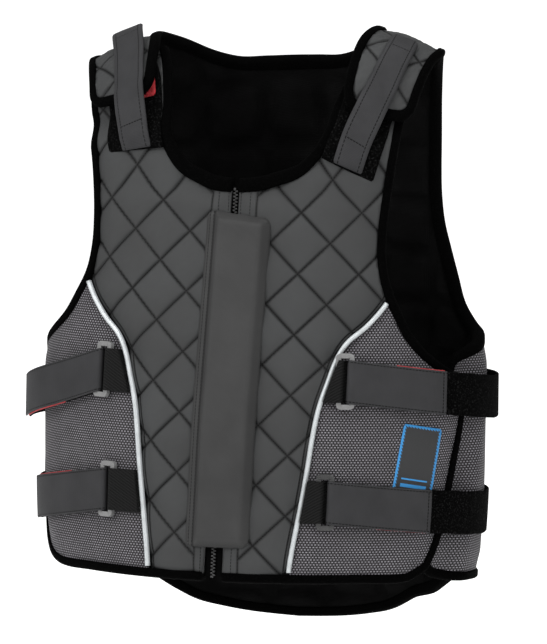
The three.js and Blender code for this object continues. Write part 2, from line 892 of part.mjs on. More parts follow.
function addShoulder(side) {
  const { name, sign } = side;
  const tapeMiddle = (tapeInner + tapeOuter) / 2;
  const tapeWidth = tapeOuter - tapeInner;
  const tapeTop = frontRidge - tapeTopGap;
  const laid = shoulderTapeWall + clearance;
  addPart(
    `shoulder_loop_${name}`,
    patchGeometry({
      panel: "front",
      sign,
      outline: slantedStrip(tapeFoot, tapeTop, tapeMiddle, tapeMiddle + tapeLean, tapeWidth, tapeCorner),
      low: () => 1.5 * clearance,
      high: () => laid,
      grid: quiltGrid(1),
      layer: frontLayer,
    }),
    "black",
  );
  const hookLow = laid + clearance;
  const hookMiddle = tapeMiddle + hookShift;
  addPart(
    `shoulder_hook_${name}`,
    patchGeometry({
      panel: "front",
      sign,
      outline: slantedStrip(hookFoot, hookTop, hookMiddle, hookMiddle + hookLean, tapeWidth, hookCorner),
      low: () => hookLow,
      high: () => hookLow + shoulderHookWall,
      grid: quiltGrid(1),
      layer: frontLayer,
    }),
    "hook",
  );
  // The tab rises over the tape's foot, lies on the flap and lifts at its tip
  const lift = (along) => {
    const overTape = ease((along - shoulderTabFoot) / tabRise) - ease((along - hookFoot) / tabSink);
    const tip = ease((along - tabLiftStart) / (side.tabTip - tabLiftStart));
    return tabClear + (shoulderTapeWall + clearance) * overTape + side.tabLift * tip;
  };
  addPart(
    `shoulder_tab_${name}`,
    patchGeometry({
      panel: "front",
      sign,
      outline: slantedStrip(
        shoulderTabFoot,
        side.tabTip,
        shoulderTabFootAcross,
        shoulderTabTipAcross,
        shoulderTabWidth,
        tabCorner,
      ),
      low: (across, along) => lift(along),
      high: (across, along) => lift(along) + shoulderTabWall,
      grid: quiltGrid(1),
      layer: flatLayer,
    }),
    "webbing",
  );
}

// Side straps. Each section lies in the plane of "across" and "depth" and runs the strap's width.
function bandSolid(lower, upper, width) {
  const half = width / 2;
  const positions = [];
  lower.forEach((point, k) => {
    positions.push(point.x, point.y, -half, point.x, point.y, half);
    positions.push(upper[k].x, upper[k].y, half, upper[k].x, upper[k].y, -half);
  });
  const last = 4 * (lower.length - 1);
  const index = [0, 1, 2, 0, 2, 3, last, last + 2, last + 1, last, last + 3, last + 2];
  for (let k = 0; k < last; k += 4) {
    for (let j = 0; j < 4; j += 1) {
      const m = (j + 1) % 4;
      index.push(k + j, k + 4 + j, k + 4 + m, k + j, k + 4 + m, k + m);
    }
  }
  const geometry = new THREE.BufferGeometry();
  geometry.setAttribute("position", new THREE.Float32BufferAttribute(positions, 3));
  geometry.setIndex(index);
  return solidOf(geometry);
}

function rodSolid(across, depth, radius, width) {
  const shape = new THREE.Shape();
  shape.absarc(across, depth, radius, 0, 2 * Math.PI);
  const options = { depth: width, steps: 1, curveSegments: 5, bevelEnabled: false };
  return solidOf(new THREE.ExtrudeGeometry(shape, options).translate(0, 0, -width / 2));
}

const bowStart = 30; // beyond the ring
const bowBehind = 8; // behind the side
const bowEnd = 50;
const tabRun = 14;
const elasticWall = 2.2;
const stitchRoom = 5;
const hookInset = 12;

function addStrap(strap) {
  const { sign } = strap.side;
  const name = `${strap.name}_${strap.side.name}`;
  const centre = (across) => {
    const share = THREE.MathUtils.clamp((across - strap.ring) / (quarterGirth - strap.ring), 0, 1);
    return strap.height - strap.drop * share;
  };
  // The strap bows off the body where it turns round the side
  const bow = (across) => {
    const out = ease((across - strap.ring - bowStart) / (quarterGirth - strap.ring - 2 * bowStart));
    const back = ease((across - quarterGirth - bowBehind) / (strapEndBehind - quarterGirth - bowEnd));
    return strapBase + strapBow * (out - back);
  };
  const line = (start, end, depth) => {
    const places = [start];
    for (let across = Math.ceil(start / strapStep) * strapStep; across < end - 1; across += strapStep) {
      if (across > start + 1) places.push(across);
    }
    return [...places, end].map((across) => new THREE.Vector2(across, depth(across)));
  };
  const bend = (x, y, z) => placeOn("front", sign * x, centre(x) + z, y);
  const holeRadius = ringRod / 2 + 0.9 * clearance;
  const loopRadius = holeRadius + loopWall;
  const halfRing = (ringWidth - ringRod) / 2;
  const band = (start, end, depth, thick) =>
    bandSolid(
      line(start, end, depth),
      line(start, end, (across) => depth(across) + thick),
      strapWidth,
    );
  const loopOn = (across, solid) =>
    solid
      .add(rodSolid(across, ringLift, loopRadius, strapWidth))
      .subtract(rodSolid(across, ringLift, holeRadius, 2 * strapWidth));

  const pipingAcross =
    columnAt(frontPipingRows, "across", strap.height / frontRidge) * quarterGirth + pipingHalf + stitchRoom;
  const elastic = loopOn(
    strap.ring - halfRing,
    band(pipingAcross, strap.ring - halfRing - loopRadius / 2, () => clearance, elasticWall),
  );
  addPart(`elastic_${name}`, bentGeometry(elastic, bend), "black");

  const bar = strap.ring + halfRing;
  const tabDepth = (across) => {
    const over = bow(across) + strapWall + hookWall + 2 * clearance;
    return THREE.MathUtils.lerp(ringLift + clearance, over, ease((across - bar) / tabRun));
  };
  const tab = loopOn(bar, band(bar + 1, strap.tabEnd, tabDepth, strapWall));
  addPart(`strap_tab_${name}`, bentGeometry(tab, bend), "webbing");

  const strapStart = bar + loopRadius + clearance;
  const loop = band(strapStart, strapEndBehind, bow, strapWall);
  addPart(`strap_loop_${name}`, bentGeometry(loop, bend), "black");

  const hookStart = strapStart + hookInset;
  const hookDepth = (across) => bow(across) + strapWall + clearance;
  const hook = band(hookStart, strap.tabEnd - 1, hookDepth, hookWall);
  addPart(`strap_hook_${name}`, bentGeometry(hook, bend), "hook");

  const low = new THREE.Vector2(-halfRing, -(ringLength - ringRod) / 2);
  const ringPath = roundedBox(low, low.clone().negate(), ringCorner);
  const ringSides = 6;
  const ringSection = Array.from({ length: ringSides }, (_, k) => {
    const angle = (2 * Math.PI * (k + 0.5)) / ringSides;
    return [(ringRod / 2) * Math.cos(angle), ringLift + (ringRod / 2) * Math.sin(angle)];
  });
  const moved = ringPath.map((point) => new THREE.Vector2(point.x + strap.ring, point.y + strap.height));
  addPart(
    `ring_${name}`,
    sweptGeometry({
      panel: "front",
      sign,
      line: moved,
      section: ringSection,
      closed: true,
      layer: flatLayer,
    }),
    name === "lower_left" ? "darkRing" : "ring",
  );
}

function addPatch() {
  const low = new THREE.Vector2(patchAcross - patchWidth / 2, patchFoot);
  const high = new THREE.Vector2(patchAcross + patchWidth / 2, patchFoot + patchHeight);
  addPart(
    "patch",
    patchGeometry({
      panel: "front",
      sign: 1,
      outline: roundedBox(low, high, 2),
      low: () => clearance,
      high: () => clearance + patchWall,
      grid: quiltGrid(2),
      layer: flatLayer,
    }),
    "patch",
  );
}

addBack();
sides.forEach(addFront);
addZip();
sides.forEach(addShoulder);
straps.forEach(addStrap);
addPatch();

export default group;
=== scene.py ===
import math

import bpy
import numpy as np
from mathutils import Matrix, Vector
from mathutils.geometry import delaunay_2d_cdt


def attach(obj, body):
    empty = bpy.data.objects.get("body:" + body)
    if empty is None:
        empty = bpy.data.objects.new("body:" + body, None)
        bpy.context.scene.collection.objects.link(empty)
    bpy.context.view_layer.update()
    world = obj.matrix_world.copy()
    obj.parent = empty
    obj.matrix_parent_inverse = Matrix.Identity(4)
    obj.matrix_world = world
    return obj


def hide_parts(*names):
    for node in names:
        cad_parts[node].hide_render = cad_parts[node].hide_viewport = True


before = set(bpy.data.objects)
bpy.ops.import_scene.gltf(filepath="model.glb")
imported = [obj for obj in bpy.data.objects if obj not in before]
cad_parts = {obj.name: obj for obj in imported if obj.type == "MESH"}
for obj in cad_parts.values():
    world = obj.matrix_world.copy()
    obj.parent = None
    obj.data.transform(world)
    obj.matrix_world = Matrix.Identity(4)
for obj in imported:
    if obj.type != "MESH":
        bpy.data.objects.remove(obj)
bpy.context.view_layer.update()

bpy.ops.object.select_all(action="DESELECT")

# The panels are drawn flat in millimetres: across runs round the body, along runs up from the hem and over
# the shoulder, depth is measured out from the body's outer face. placeOn bends them as the frame's are.
body = {
    "halfWidth": 214, "frontDepth": 130, "backDepth": 125, "flatAngle": math.radians(35), "length": 562,
    "frontArchFoot": 422, "backArchFoot": 440, "frontArchPath": 175, "backArchPath": 165, "seatHeight": 530,
    "shoulderSlope": 0.377, "shoulderTilt": 2.8, "shoulderSink": 15, "shoulderThin": 0.3, "sinkStart": 452,
    "sinkRun": 36, "flapThin": 0.64, "flapThinRun": 42, "flapShare": 0.175, "flapNarrow": 1.6,
    "tuckDepth": 14.5, "tuckThin": 0.6, "tuckStart": 42, "tuckRun": 34,
    "topRaise": 4, "rightRaise": 5, "raiseFoot": 430,
    "hemDrop": 5, "hemDropRight": 13, "hemDropRun": 100, "hemCorner": (122, 30, 160, 40), "hemSide": 190,
}

# Width and depths as shares, up as a share of the length
bodyRows = {
    "up": [0.0, 0.11, 0.24, 0.36, 0.48, 0.6, 0.7, 0.79],
    "width": [0.965, 0.98, 1.0, 1.0, 1.0, 1.0, 1.0, 1.0],
    "front": [1.13, 1.115, 1.05, 1.0, 0.915, 0.82, 0.745, 0.705],
    "back": [0.96, 0.98, 1.0, 1.01, 1.0, 0.95, 0.89, 0.845],
}

# Pattern curves: across as shares of the quarter girth, up as shares of the path to the ridge
frontSideRows = {
    "across": [0.668, 0.744, 0.784, 0.839, 0.887, 0.887],
    "up": [0.102, 0.116, 0.154, 0.268, 0.358, 0.419],
}
frontArmholeRows = {
    "across": [0.887, 0.77, 0.655, 0.56, 0.543, 0.543, 0.565, 0.594, 0.642, 0.679],
    "up": [0.419, 0.442, 0.486, 0.568, 0.603, 0.662, 0.737, 0.817, 0.913, 0.99],
}
frontNeckRows = {
    "across": [0.401, 0.386, 0.362, 0.332, 0.307, 0.283, 0.23, 0.13],
    "up": [0.99, 0.92, 0.854, 0.817, 0.784, 0.757, 0.738, 0.7245],
}
frontPipingRows = {
    "across": [0.256, 0.265, 0.299, 0.322, 0.337, 0.36, 0.387, 0.4225, 0.49, 0.556, 0.63],
    "up": [0.08, 0.147, 0.26, 0.34, 0.377, 0.412, 0.449, 0.476, 0.5025, 0.539, 0.6],
}
backHemRows = {
    "across": [0.0, 0.182, 0.372, 0.474, 0.598, 0.73, 1.0, 1.186, 1.25, 1.27, 1.24, 1.16, 1.15],
    "up": [0.003, 0.008, 0.023, 0.043, 0.072, 0.086, 0.092, 0.1, 0.12, 0.165, 0.215, 0.354, 0.44],
}
backArmholeRows = {
    "across": [1.15, 1.04, 0.93, 0.799, 0.7, 0.655, 0.602, 0.552, 0.539, 0.58, 0.638, 0.684, 0.671, 0.635, 0.615],
    "up": [0.44, 0.452, 0.466, 0.48, 0.492, 0.514, 0.572, 0.636, 0.699, 0.807, 0.91, 1.0, 1.058, 1.132, 1.175],
}
backNeckRows = {
    "across": [0.372, 0.386, 0.396, 0.379, 0.328, 0.263, 0.182, 0.0],
    "up": [1.175, 1.074, 1.0, 0.951, 0.908, 0.874, 0.854, 0.838],
}
backSeamRows = {
    "across": [0.32, 0.36, 0.4, 0.46, 0.56, 0.66, 0.8],
    "up": [-0.02, 0.2, 0.35, 0.42, 0.48, 0.525, 0.58],
}

sinFlat = math.sin(body["flatAngle"])
cosFlat = math.cos(body["flatAngle"])
sideRadius = (body["frontDepth"] * sinFlat - body["halfWidth"] * (1 - cosFlat)) / (
    sinFlat * cosFlat - (1 - sinFlat) * (1 - cosFlat)
)
faceRadius = (body["halfWidth"] - (1 - sinFlat) * sideRadius) / sinFlat
faceArc = faceRadius * body["flatAngle"]
quarterGirth = faceArc + sideRadius * (math.pi / 2 - body["flatAngle"])
frontRidge = body["frontArchFoot"] + body["frontArchPath"]
backRidge = body["backArchFoot"] + body["backArchPath"]
neckPoint = faceRadius * math.sin(backNeckRows["across"][2] * quarterGirth / faceRadius)

# The side that wraps further round has its own curves
wideSideRows = {
    "across": [0.7, 0.8, 0.885, 0.935, 0.95, 0.95],
    "up": [0.102, 0.116, 0.154, 0.268, 0.358, 0.447],
}
wideArmholeRows = {
    "across": [0.95, 0.83, 0.705, 0.6, 0.577, 0.572, 0.585, 0.607, 0.653, 0.683, 0.7],
    "up": [0.447, 0.47, 0.503, 0.57, 0.603, 0.662, 0.732, 0.776, 0.822, 0.9, 0.99],
}
wideNeckRows = {
    "across": [0.395, 0.345, 0.305, 0.288, 0.27, 0.243, 0.19, 0.11],
    "up": [0.99, 0.92, 0.854, 0.817, 0.784, 0.757, 0.738, 0.7245],
}


def ease(value):
    share = np.clip(value, 0, 1)
    return share * share * (3 - 2 * share)


def unit(rows):
    return rows / np.linalg.norm(rows, axis=-1, keepdims=True)


def columnAt(rows, column, up):  # a smooth curve through one column of a table
    ups = np.array(rows["up"], float)
    values = np.array(rows[column], float)
    share = np.clip(np.asarray(up, float), ups[0], ups[-1])
    k = np.clip(np.searchsorted(ups, share, side="left") - 1, 0, len(ups) - 2)
    low = np.maximum(np.arange(len(ups)) - 1, 0)
    high = np.minimum(np.arange(len(ups)) + 1, len(ups) - 1)
    slopes = (values[high] - values[low]) / (ups[high] - ups[low])
    run = ups[k + 1] - ups[k]
    u = (share - ups[k]) / run
    h = u * u * (3 - 2 * u)
    bend = run * (slopes[k] * u * (1 - u) ** 2 - slopes[k + 1] * u * u * (1 - u))
    return values[k] * (1 - h) + values[k + 1] * h + bend


def facePoint(panel, across, along):
    across, along = np.broadcast_arrays(np.asarray(across, float), np.asarray(along, float))
    onFront = np.full(across.shape, panel == "front")
    over = ~onFront & (along > backRidge)
    path = np.where(over, frontRidge - (along - backRidge), along)
    onFront = onFront | over
    girth = np.abs(across)
    beyond = girth > quarterGirth
    onFront = onFront ^ beyond
    girth = np.where(beyond, 2 * quarterGirth - girth, girth)
    foot = np.where(onFront, body["frontArchFoot"], body["backArchFoot"])
    arch = np.where(onFront, body["frontArchPath"], body["backArchPath"])
    height = np.minimum(path, foot)
    climb = np.maximum(0, path - foot) / arch * (math.pi / 2)
    faceTurn = np.minimum(girth, faceArc) / faceRadius
    sideTurn = body["flatAngle"] + np.maximum(girth - faceArc, 0) / sideRadius
    isFace = girth < faceArc
    sectionX = np.where(
        isFace, faceRadius * np.sin(faceTurn), (faceRadius - sideRadius) * sinFlat + sideRadius * np.sin(sideTurn)
    )
    sectionY = np.where(isFace, body["frontDepth"] - faceRadius * (1 - np.cos(faceTurn)), sideRadius * np.cos(sideTurn))
    share = height / body["length"]
    x = sectionX * columnAt(bodyRows, "width", share)
    frontShare = columnAt(bodyRows, "front", share)
    backShare = columnAt(bodyRows, "back", share) * body["backDepth"] / body["frontDepth"]
    deep = sectionY * np.where(onFront, frontShare, backShare) * np.cos(climb)
    shoulder = body["length"] - body["shoulderSlope"] * (x - neckPoint)
    level = height + np.where(climb > 0, (shoulder - foot) * np.sin(climb), 0)
    side = np.sign(across)
    half = body["length"] / 2
    tilt = body["shoulderTilt"] * side * (x / neckPoint) * ease((level - half) / half)
    high = ease((level - body["raiseFoot"]) / (body["length"] - body["raiseFoot"]))
    raised = (body["topRaise"] + body["rightRaise"] * np.maximum(side * x, 0) / neckPoint) * high
    if panel == "back":  # the hem hangs lower behind, most on one side
        start, rise, stop, fall = body["hemCorner"]
        rightSide = ease((side * x - start) / rise) * (1 - ease((side * x - stop) / fall))
        low = 1 - ease(height / body["hemDropRun"])
        drop = body["hemDrop"] + body["hemDropRight"] * rightSide
        raised = raised - drop * low * ease((body["hemSide"] - x) / fall)
    y = np.where(onFront, -deep, deep)
    return np.stack([side * x, y, level + tilt + raised - body["seatHeight"]], axis=-1)


def placeOn(panel, across, along, depth):  # metres in the frame
    step = 0.5
    across, along = np.broadcast_arrays(np.asarray(across, float), np.asarray(along, float))
    around, up = (facePoint(panel, across + a, along + s) - facePoint(panel, across - a, along - s)
                  for a, s in ((step, 0), (0, step)))
    way = 1 if panel == "front" else -1
    outward = unit(np.cross(around, up)) * (way * np.asarray(depth, float))[..., None]
    return (facePoint(panel, across, along) + outward) / 1000


def frontLayer(across, along, depth):  # sinks and thins under the shoulder flap
    under = ease((along - body["sinkStart"]) / body["sinkRun"])
    return depth * (1 - (1 - body["shoulderThin"]) * under) - body["shoulderSink"] * under


def sideTop(rows, along):
    return columnAt({key: values[2:] for key, values in rows.items()}, "across", along / frontRidge) * quarterGirth


def backLayer(across, along, depth):  # thins as the flap, tucks under the front at the side
    flap = ease((along - backRidge) / body["flapThinRun"] + 1)
    frontSide = np.where(across < 0, sideTop(wideSideRows, along), sideTop(frontSideRows, along))
    lap = np.abs(across) - (2 * quarterGirth - frontSide) + body["tuckStart"]
    tuck = ease(lap / body["tuckRun"])
    thin = (1 - (1 - body["flapThin"]) * flap) * (1 - (1 - body["tuckThin"]) * tuck)
    return depth * thin - body["tuckDepth"] * tuck


def flatLayer(across, along, depth):
    return depth


# Flat outlines

def runAlong(line):
    return np.concatenate([[0], np.cumsum(np.linalg.norm(np.diff(line, axis=0), axis=1))])


def evenly(line, spacing):
    run = runAlong(line)
    places = np.linspace(0, run[-1], max(2, round(run[-1] / spacing)) + 1)
    return np.c_[np.interp(places, run, line[:, 0]), np.interp(places, run, line[:, 1])]


def spans(line):  # four points in a row for each stretch of a line
    padded = np.vstack([2 * line[0] - line[1], line, 2 * line[-1] - line[-2]])
    return [padded[k - 1:k + 3] for k in range(1, len(padded) - 2)]


def splinePoints(rows, ridge, spacing):
    points = np.c_[np.array(rows["across"]) * quarterGirth, np.array(rows["up"]) * ridge]
    t = np.linspace(0, 1, 24, endpoint=False)[:, None]
    fine = [0.5 * (2 * p1 + (p2 - p0) * t + (2 * p0 - 5 * p1 + 4 * p2 - p3) * t ** 2
                   + (3 * p1 - p0 - 3 * p2 + p3) * t ** 3) for p0, p1, p2, p3 in spans(points)]
    return evenly(np.vstack(fine + [points[-1:]]), spacing)


def smoothLine(line):  # a curve through all the points, so that no facet shows
    t = np.linspace(0, 1, 6, endpoint=False)[:, None]
    fine = []
    for p0, p1, p2, p3 in spans(line):
        before, span, after = (np.linalg.norm(b - a) for a, b in ((p0, p1), (p1, p2), (p2, p3)))
        m1, m2 = (p2 - p0) * span / (span + before), (p3 - p1) * span / (after + span)
        fine.append((2 * t ** 3 - 3 * t ** 2 + 1) * p1 + (t ** 3 - 2 * t ** 2 + t) * m1
                    + (-2 * t ** 3 + 3 * t ** 2) * p2 + (t ** 3 - t ** 2) * m2)
    return np.vstack(fine + [line[-1:]])


def roundTurns(line, radius, steps=6):
    rounded = [line[0]]
    for k in range(1, len(line) - 1):
        into, out = line[k] - line[k - 1], line[k + 1] - line[k]
        cross = into[0] * out[1] - into[1] * out[0]
        turn = abs(math.atan2(cross, into @ out))
        if turn < math.pi / 6:
            rounded.append(line[k])
            continue
        bend = radius[k] if isinstance(radius, list) else radius
        reach = min(bend * math.tan(turn / 2), 0.8 * np.linalg.norm(into), 0.8 * np.linalg.norm(out))
        into = into / np.linalg.norm(into)
        way = math.copysign(1, cross)
        start = line[k] - into * reach
        centre = start + np.array([-into[1], into[0]]) * way * reach / math.tan(turn / 2)
        arm = start - centre
        for angle in way * turn * np.arange(steps + 1) / steps:
            cos, sin = math.cos(angle), math.sin(angle)
            rounded.append(centre + np.array([arm[0] * cos - arm[1] * sin, arm[0] * sin + arm[1] * cos]))
    rounded.append(line[-1])
    return np.array(rounded)


def roundedLoop(corners, radius, spacing):
    return evenly(roundTurns(np.array(corners, float), radius), spacing)[:-1]


def offsetLine(line, distance, closed=False):
    into, out = line - np.roll(line, 1, axis=0), np.roll(line, -1, axis=0) - line
    if not closed:
        into[0], out[-1] = out[0], into[-1]
    one, two = (np.c_[-way[:, 1], way[:, 0]] for way in (unit(into), unit(out)))
    middle = unit(one + two)
    return line + middle * distance / np.maximum(0.5, (middle * one).sum(axis=1, keepdims=True))


edging = {"width": 9, "lap": 1.2, "top": -1.2, "bottom": -13.5, "bulge": 3.2, "corner": 13, "backCorner": 19,
          "spacing": 5}
coarse = 26  # spacing at which sharp corners are rounded, as in the frame
gap = {"top": 3.5, "bottomLeft": 7, "bottomRight": 13}


def shifted(rows, out, low, high):  # widens a curve between two heights, as a share of the quarter girth
    up = np.array(rows["up"])
    bump = ease((up - low) / 0.05) * (1 - ease((up - high) / 0.14))
    return {"across": list(np.array(rows["across"]) + out * bump), "up": rows["up"]}


def frontEdge(side):
    sideRows, armholeRows, neckRows = side["edge"]
    hem, neck = sideRows["up"][0] * frontRidge, neckRows["up"][-1] * frontRidge
    lastNeck = neckRows["across"][-1] * quarterGirth
    line = np.vstack([
        np.linspace([side["gap"], hem], [sideRows["across"][0] * quarterGirth, hem], 4, endpoint=False),
        splinePoints(sideRows, frontRidge, coarse),
        splinePoints(armholeRows, frontRidge, coarse)[1:],
        splinePoints(neckRows, frontRidge, coarse),
        [[(lastNeck + gap["top"]) / 2, neck - 3], [gap["top"], neck - 4]],
    ])
    return evenly(smoothLine(roundTurns(line, edging["corner"])), edging["spacing"])


def backHalf(side):
    def longer(rows, inward=0.0):
        over = [max(0, value - 1) / body["flapShare"] for value in rows["up"]]
        return {"across": [a - inward * min(1, body["flapNarrow"] * share) for a, share in zip(rows["across"], over)],
                "up": [value + share * side["flap"] / backRidge for value, share in zip(rows["up"], over)]}

    half = roundTurns(np.vstack([
        splinePoints(backHemRows, backRidge, coarse),
        splinePoints(longer(shifted(backArmholeRows, 0.045, 0.44, 0.72)), backRidge, coarse)[1:],
        splinePoints(longer(backNeckRows, side["flapIn"]), backRidge, coarse),
    ]), edging["backCorner"])
    return evenly(smoothLine(half), edging["spacing"])


def backEdge():
    return np.vstack([backHalf(sides[0]), backHalf(sides[1])[1:-1][::-1] * [-1, 1]])


# Meshes

def insideOf(outline, points):
    inside = np.zeros(len(points), bool)
    for (x1, y1), (x2, y2) in zip(outline, np.roll(outline, -1, axis=0)):
        if y1 == y2:
            continue
        crosses = (y1 > points[:, 1]) != (y2 > points[:, 1])
        inside ^= crosses & (points[:, 0] < (x2 - x1) * (points[:, 1] - y1) / (y2 - y1) + x1)
    return inside


def distanceTo(line, points, closed=True):
    least = np.full(len(points), 1e9)
    ends = np.roll(line, -1, axis=0) if closed else line[1:]
    for start, end in zip(line, ends):
        run = end - start
        share = np.clip(((points - start) @ run) / max(run @ run, 1e-9), 0, 1)
        least = np.minimum(least, np.linalg.norm(points - start - share[:, None] * run, axis=1))
    return least


def fillOutline(outline, spacing, origin=(0, 0), seams=()):
    # points and triangles of a flat piece, with a row of points along each seam, so that a cut there is smooth
    low, high = np.floor((outline.min(axis=0) - origin) / spacing), np.ceil((outline.max(axis=0) - origin) / spacing)
    columns, rows = np.meshgrid(np.arange(low[0], high[0] + 1), np.arange(low[1], high[1] + 1))
    inner = np.c_[columns.ravel(), rows.ravel()] * spacing + origin
    inner = inner[insideOf(outline, inner)]
    step = float(np.min(spacing))
    keep = distanceTo(outline, inner) > 0.55 * step
    lines, start = [], len(outline)
    edges = [(k, (k + 1) % start) for k in range(start)]
    for seam in seams:
        keep &= distanceTo(seam, inner, closed=False) > 0.55 * step
        line = seam[insideOf(outline, seam)]
        lines.append(line[distanceTo(outline, line) > 0.3 * step])
        edges += [(start + k, start + k + 1) for k in range(len(lines[-1]) - 1)]
        start += len(lines[-1])
    points = [Vector(p) for p in np.vstack([outline, *lines, inner[keep]])]
    verts, _, faces, *_ = delaunay_2d_cdt(points, edges, [], 1, 1e-4)
    return np.array([tuple(v) for v in verts]), np.array(faces)


def addMesh(name, verts, faces, flat, material, smooth=True):
    mesh = bpy.data.meshes.new(name)
    mesh.from_pydata(np.asarray(verts).tolist(), [], [tuple(int(i) for i in f) for f in faces])
    uv = mesh.uv_layers.new(name="flat")
    loops = np.empty(len(mesh.loops), int)
    mesh.loops.foreach_get("vertex_index", loops)
    uv.data.foreach_set("uv", (np.asarray(flat)[loops] / 1000).ravel())
    mesh.materials.append(material)
    mesh.polygons.foreach_set("use_smooth", [smooth] * len(mesh.polygons))
    piece = bpy.data.objects.new(name, mesh)
    bpy.context.scene.collection.objects.link(piece)
    bpy.context.view_layer.objects.active = piece
    piece.select_set(True)
    bpy.ops.object.mode_set(mode="EDIT")
    bpy.ops.mesh.select_all(action="SELECT")
    bpy.ops.mesh.normals_make_consistent(inside=False)
    bpy.ops.object.mode_set(mode="OBJECT")
    piece.select_set(False)
    return piece


def thickPiece(name, where, fill, outer, inner, material, local=None):
    # where is the panel, the side and what turns a depth into the one at that place; a depth may be one number
    panel, sign, layer = where
    points, triangles = fill
    across, along = points[:, 0], points[:, 1]
    faces = [placeOn(panel, sign * across, along, layer(across, along, depth(points) if callable(depth) else depth))
             for depth in (outer, inner)]
    verts = np.vstack(faces)
    pairs = np.vstack([triangles[:, [0, 1]], triangles[:, [1, 2]], triangles[:, [2, 0]]]).tolist()
    known = {(a, b) for a, b in pairs}
    count = len(points)
    faces = triangles.tolist() + (triangles[:, ::-1] + count).tolist()
    faces += [(b, a, a + count, b + count) for a, b in pairs if (b, a) not in known]
    flat = points * [sign, 1] if local is None else local
    return addMesh(name, verts, faces, np.vstack([flat, flat]), material)


def addTube(name, verts, flat, closed, material):  # one row of points for each corner of the section
    count, around = len(verts[0]), len(verts)
    faces = []
    for j in range(around):
        row, after = j * count, (j + 1) % around * count
        faces += [(row + k, after + k, after + (k + 1) % count, row + (k + 1) % count)
                  for k in range(count if closed else count - 1)]
    if not closed:
        faces += [[j * count for j in range(around)], [j * count + count - 1 for j in reversed(range(around))]]
    return addMesh(name, np.vstack(verts), faces, np.vstack(flat), material)


def sweptPiece(name, where, line, section, closed, material):
    panel, sign, layer = where
    run = runAlong(line)
    verts, flat = [], []
    for (inward, depth), girth in zip(section, runAlong(np.array(section, float))):
        across, along = offsetLine(line, inward, closed).T
        verts.append(placeOn(panel, sign * across, along, layer(across, along, depth)))
        flat.append(np.c_[run, np.full(len(run), girth)])
    return addTube(name, verts, flat, closed, material)


def layFlat(size, area=None):  # millimetres
    size[0] / 1000
    size[1] / 1000
    None if area is None else area / 1e6


def layOutline(outline):
    across, along = outline[:, 0], outline[:, 1]
    area = abs((across * np.roll(along, -1) - along * np.roll(across, -1)).sum()) / 2
    layFlat(outline.max(axis=0) - outline.min(axis=0), area)


def dress(piece, nodes):
    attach(piece, "root")
    if nodes:
        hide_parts(*nodes)
    return piece


# Shader maths as Python expressions

class Signal:
    def __init__(self, shader, socket):
        self.shader, self.socket = shader, socket

    def maths(self, operation, *values):
        return self.shader.node("ShaderNodeMath", {"operation": operation}, values)

    def __rsub__(self, other):
        return self.maths("SUBTRACT", other, self)

    def between(self, low, high):  # 0 at low, 1 at high, smooth
        return self.shader.node("ShaderNodeMapRange", {"interpolation_type": "SMOOTHSTEP"}, [self, low, high, 0.0, 1.0])


operations = {"__add__": "ADD", "__radd__": "ADD", "__sub__": "SUBTRACT", "__mul__": "MULTIPLY",
              "__rmul__": "MULTIPLY", "__truediv__": "DIVIDE", "abs": "ABSOLUTE", "fract": "FRACT", "floor": "FLOOR",
              "sin": "SINE", "less": "LESS_THAN", "more": "GREATER_THAN", "least": "MINIMUM", "most": "MAXIMUM"}
for word, operation in operations.items():
    setattr(Signal, word, lambda self, *values, kind=operation: self.maths(kind, self, *values))


class Shader:
    def __init__(self, name):
        self.material = bpy.data.materials.new(name)
        self.material.use_nodes = True
        self.tree = self.material.node_tree
        self.across, self.along = self.uvMap("flat")

    def feed(self, made, values):
        for key, value in values:
            if isinstance(value, Signal):
                self.tree.links.new(value.socket, made.inputs[key])
            else:
                made.inputs[key].default_value = value

    def node(self, kind, settings, values, output=0):
        made = self.tree.nodes.new(kind)
        for key, value in settings.items():
            setattr(made, key, value)
        self.feed(made, values.items() if isinstance(values, dict) else enumerate(values))
        return Signal(self, made.outputs[output])

    def uvMap(self, name):  # across and along, in millimetres
        parts = self.node("ShaderNodeSeparateXYZ", {}, [self.node("ShaderNodeUVMap", {"uv_map": name}, [])])
        return [Signal(self, parts.socket.node.outputs[k]) * 1000.0 for k in (0, 1)]

    def colour(self, factor, low, high):
        return self.node("ShaderNodeMix", {"data_type": "RGBA", "clamp_factor": True}, {0: factor, 6: low, 7: high}, 2)

    def noise(self, scale, detail=2.0):
        place = self.node("ShaderNodeTexCoord", {}, [], output=3)
        return self.node("ShaderNodeTexNoise", {}, {"Vector": place, "Scale": scale, "Detail": detail})

    def weave(self, pitch):
        return ((self.across * (math.pi / pitch)).sin() * (self.along * (math.pi / pitch)).sin()).abs()

    def bump(self, height, distance, strength=1.0, normal=None):
        values = {"Height": height, "Distance": distance, "Strength": strength}
        return self.node("ShaderNodeBump", {}, values if normal is None else values | {"Normal": normal})

    def finish(self, **inputs):
        surface = self.tree.nodes["Principled BSDF"]
        self.feed(surface, [(key.replace("_", " "), value) for key, value in inputs.items()])
        return self.material


def grey(level, tint=(1, 1, 1)):  # a linear colour from an sRGB level out of 255
    share = level / 255
    linear = share / 12.92 if share <= 0.04045 else ((share + 0.055) / 1.055) ** 2.4
    return (linear * tint[0], linear * tint[1], linear * tint[2], 1)


def stitches(offset, travel, half, pitch, filled=0.68):
    # mask of a line of stitches: offset is the distance from its line, travel runs along it
    line = offset.abs().between(half * 1.25, half * 0.6)
    dash = (((travel / pitch).fract() - 0.5).abs()).between(filled / 2 + 0.06, filled / 2 - 0.06)
    return line * dash


def plainFinish(name, height, low, high, relief, factor=None, **rest):
    s = Shader(name)
    raised = height(s)
    base = s.colour(factor(s, raised) if factor else raised, low, high)
    return s.finish(Base_Color=base, Normal=s.bump(raised, *relief), **rest)


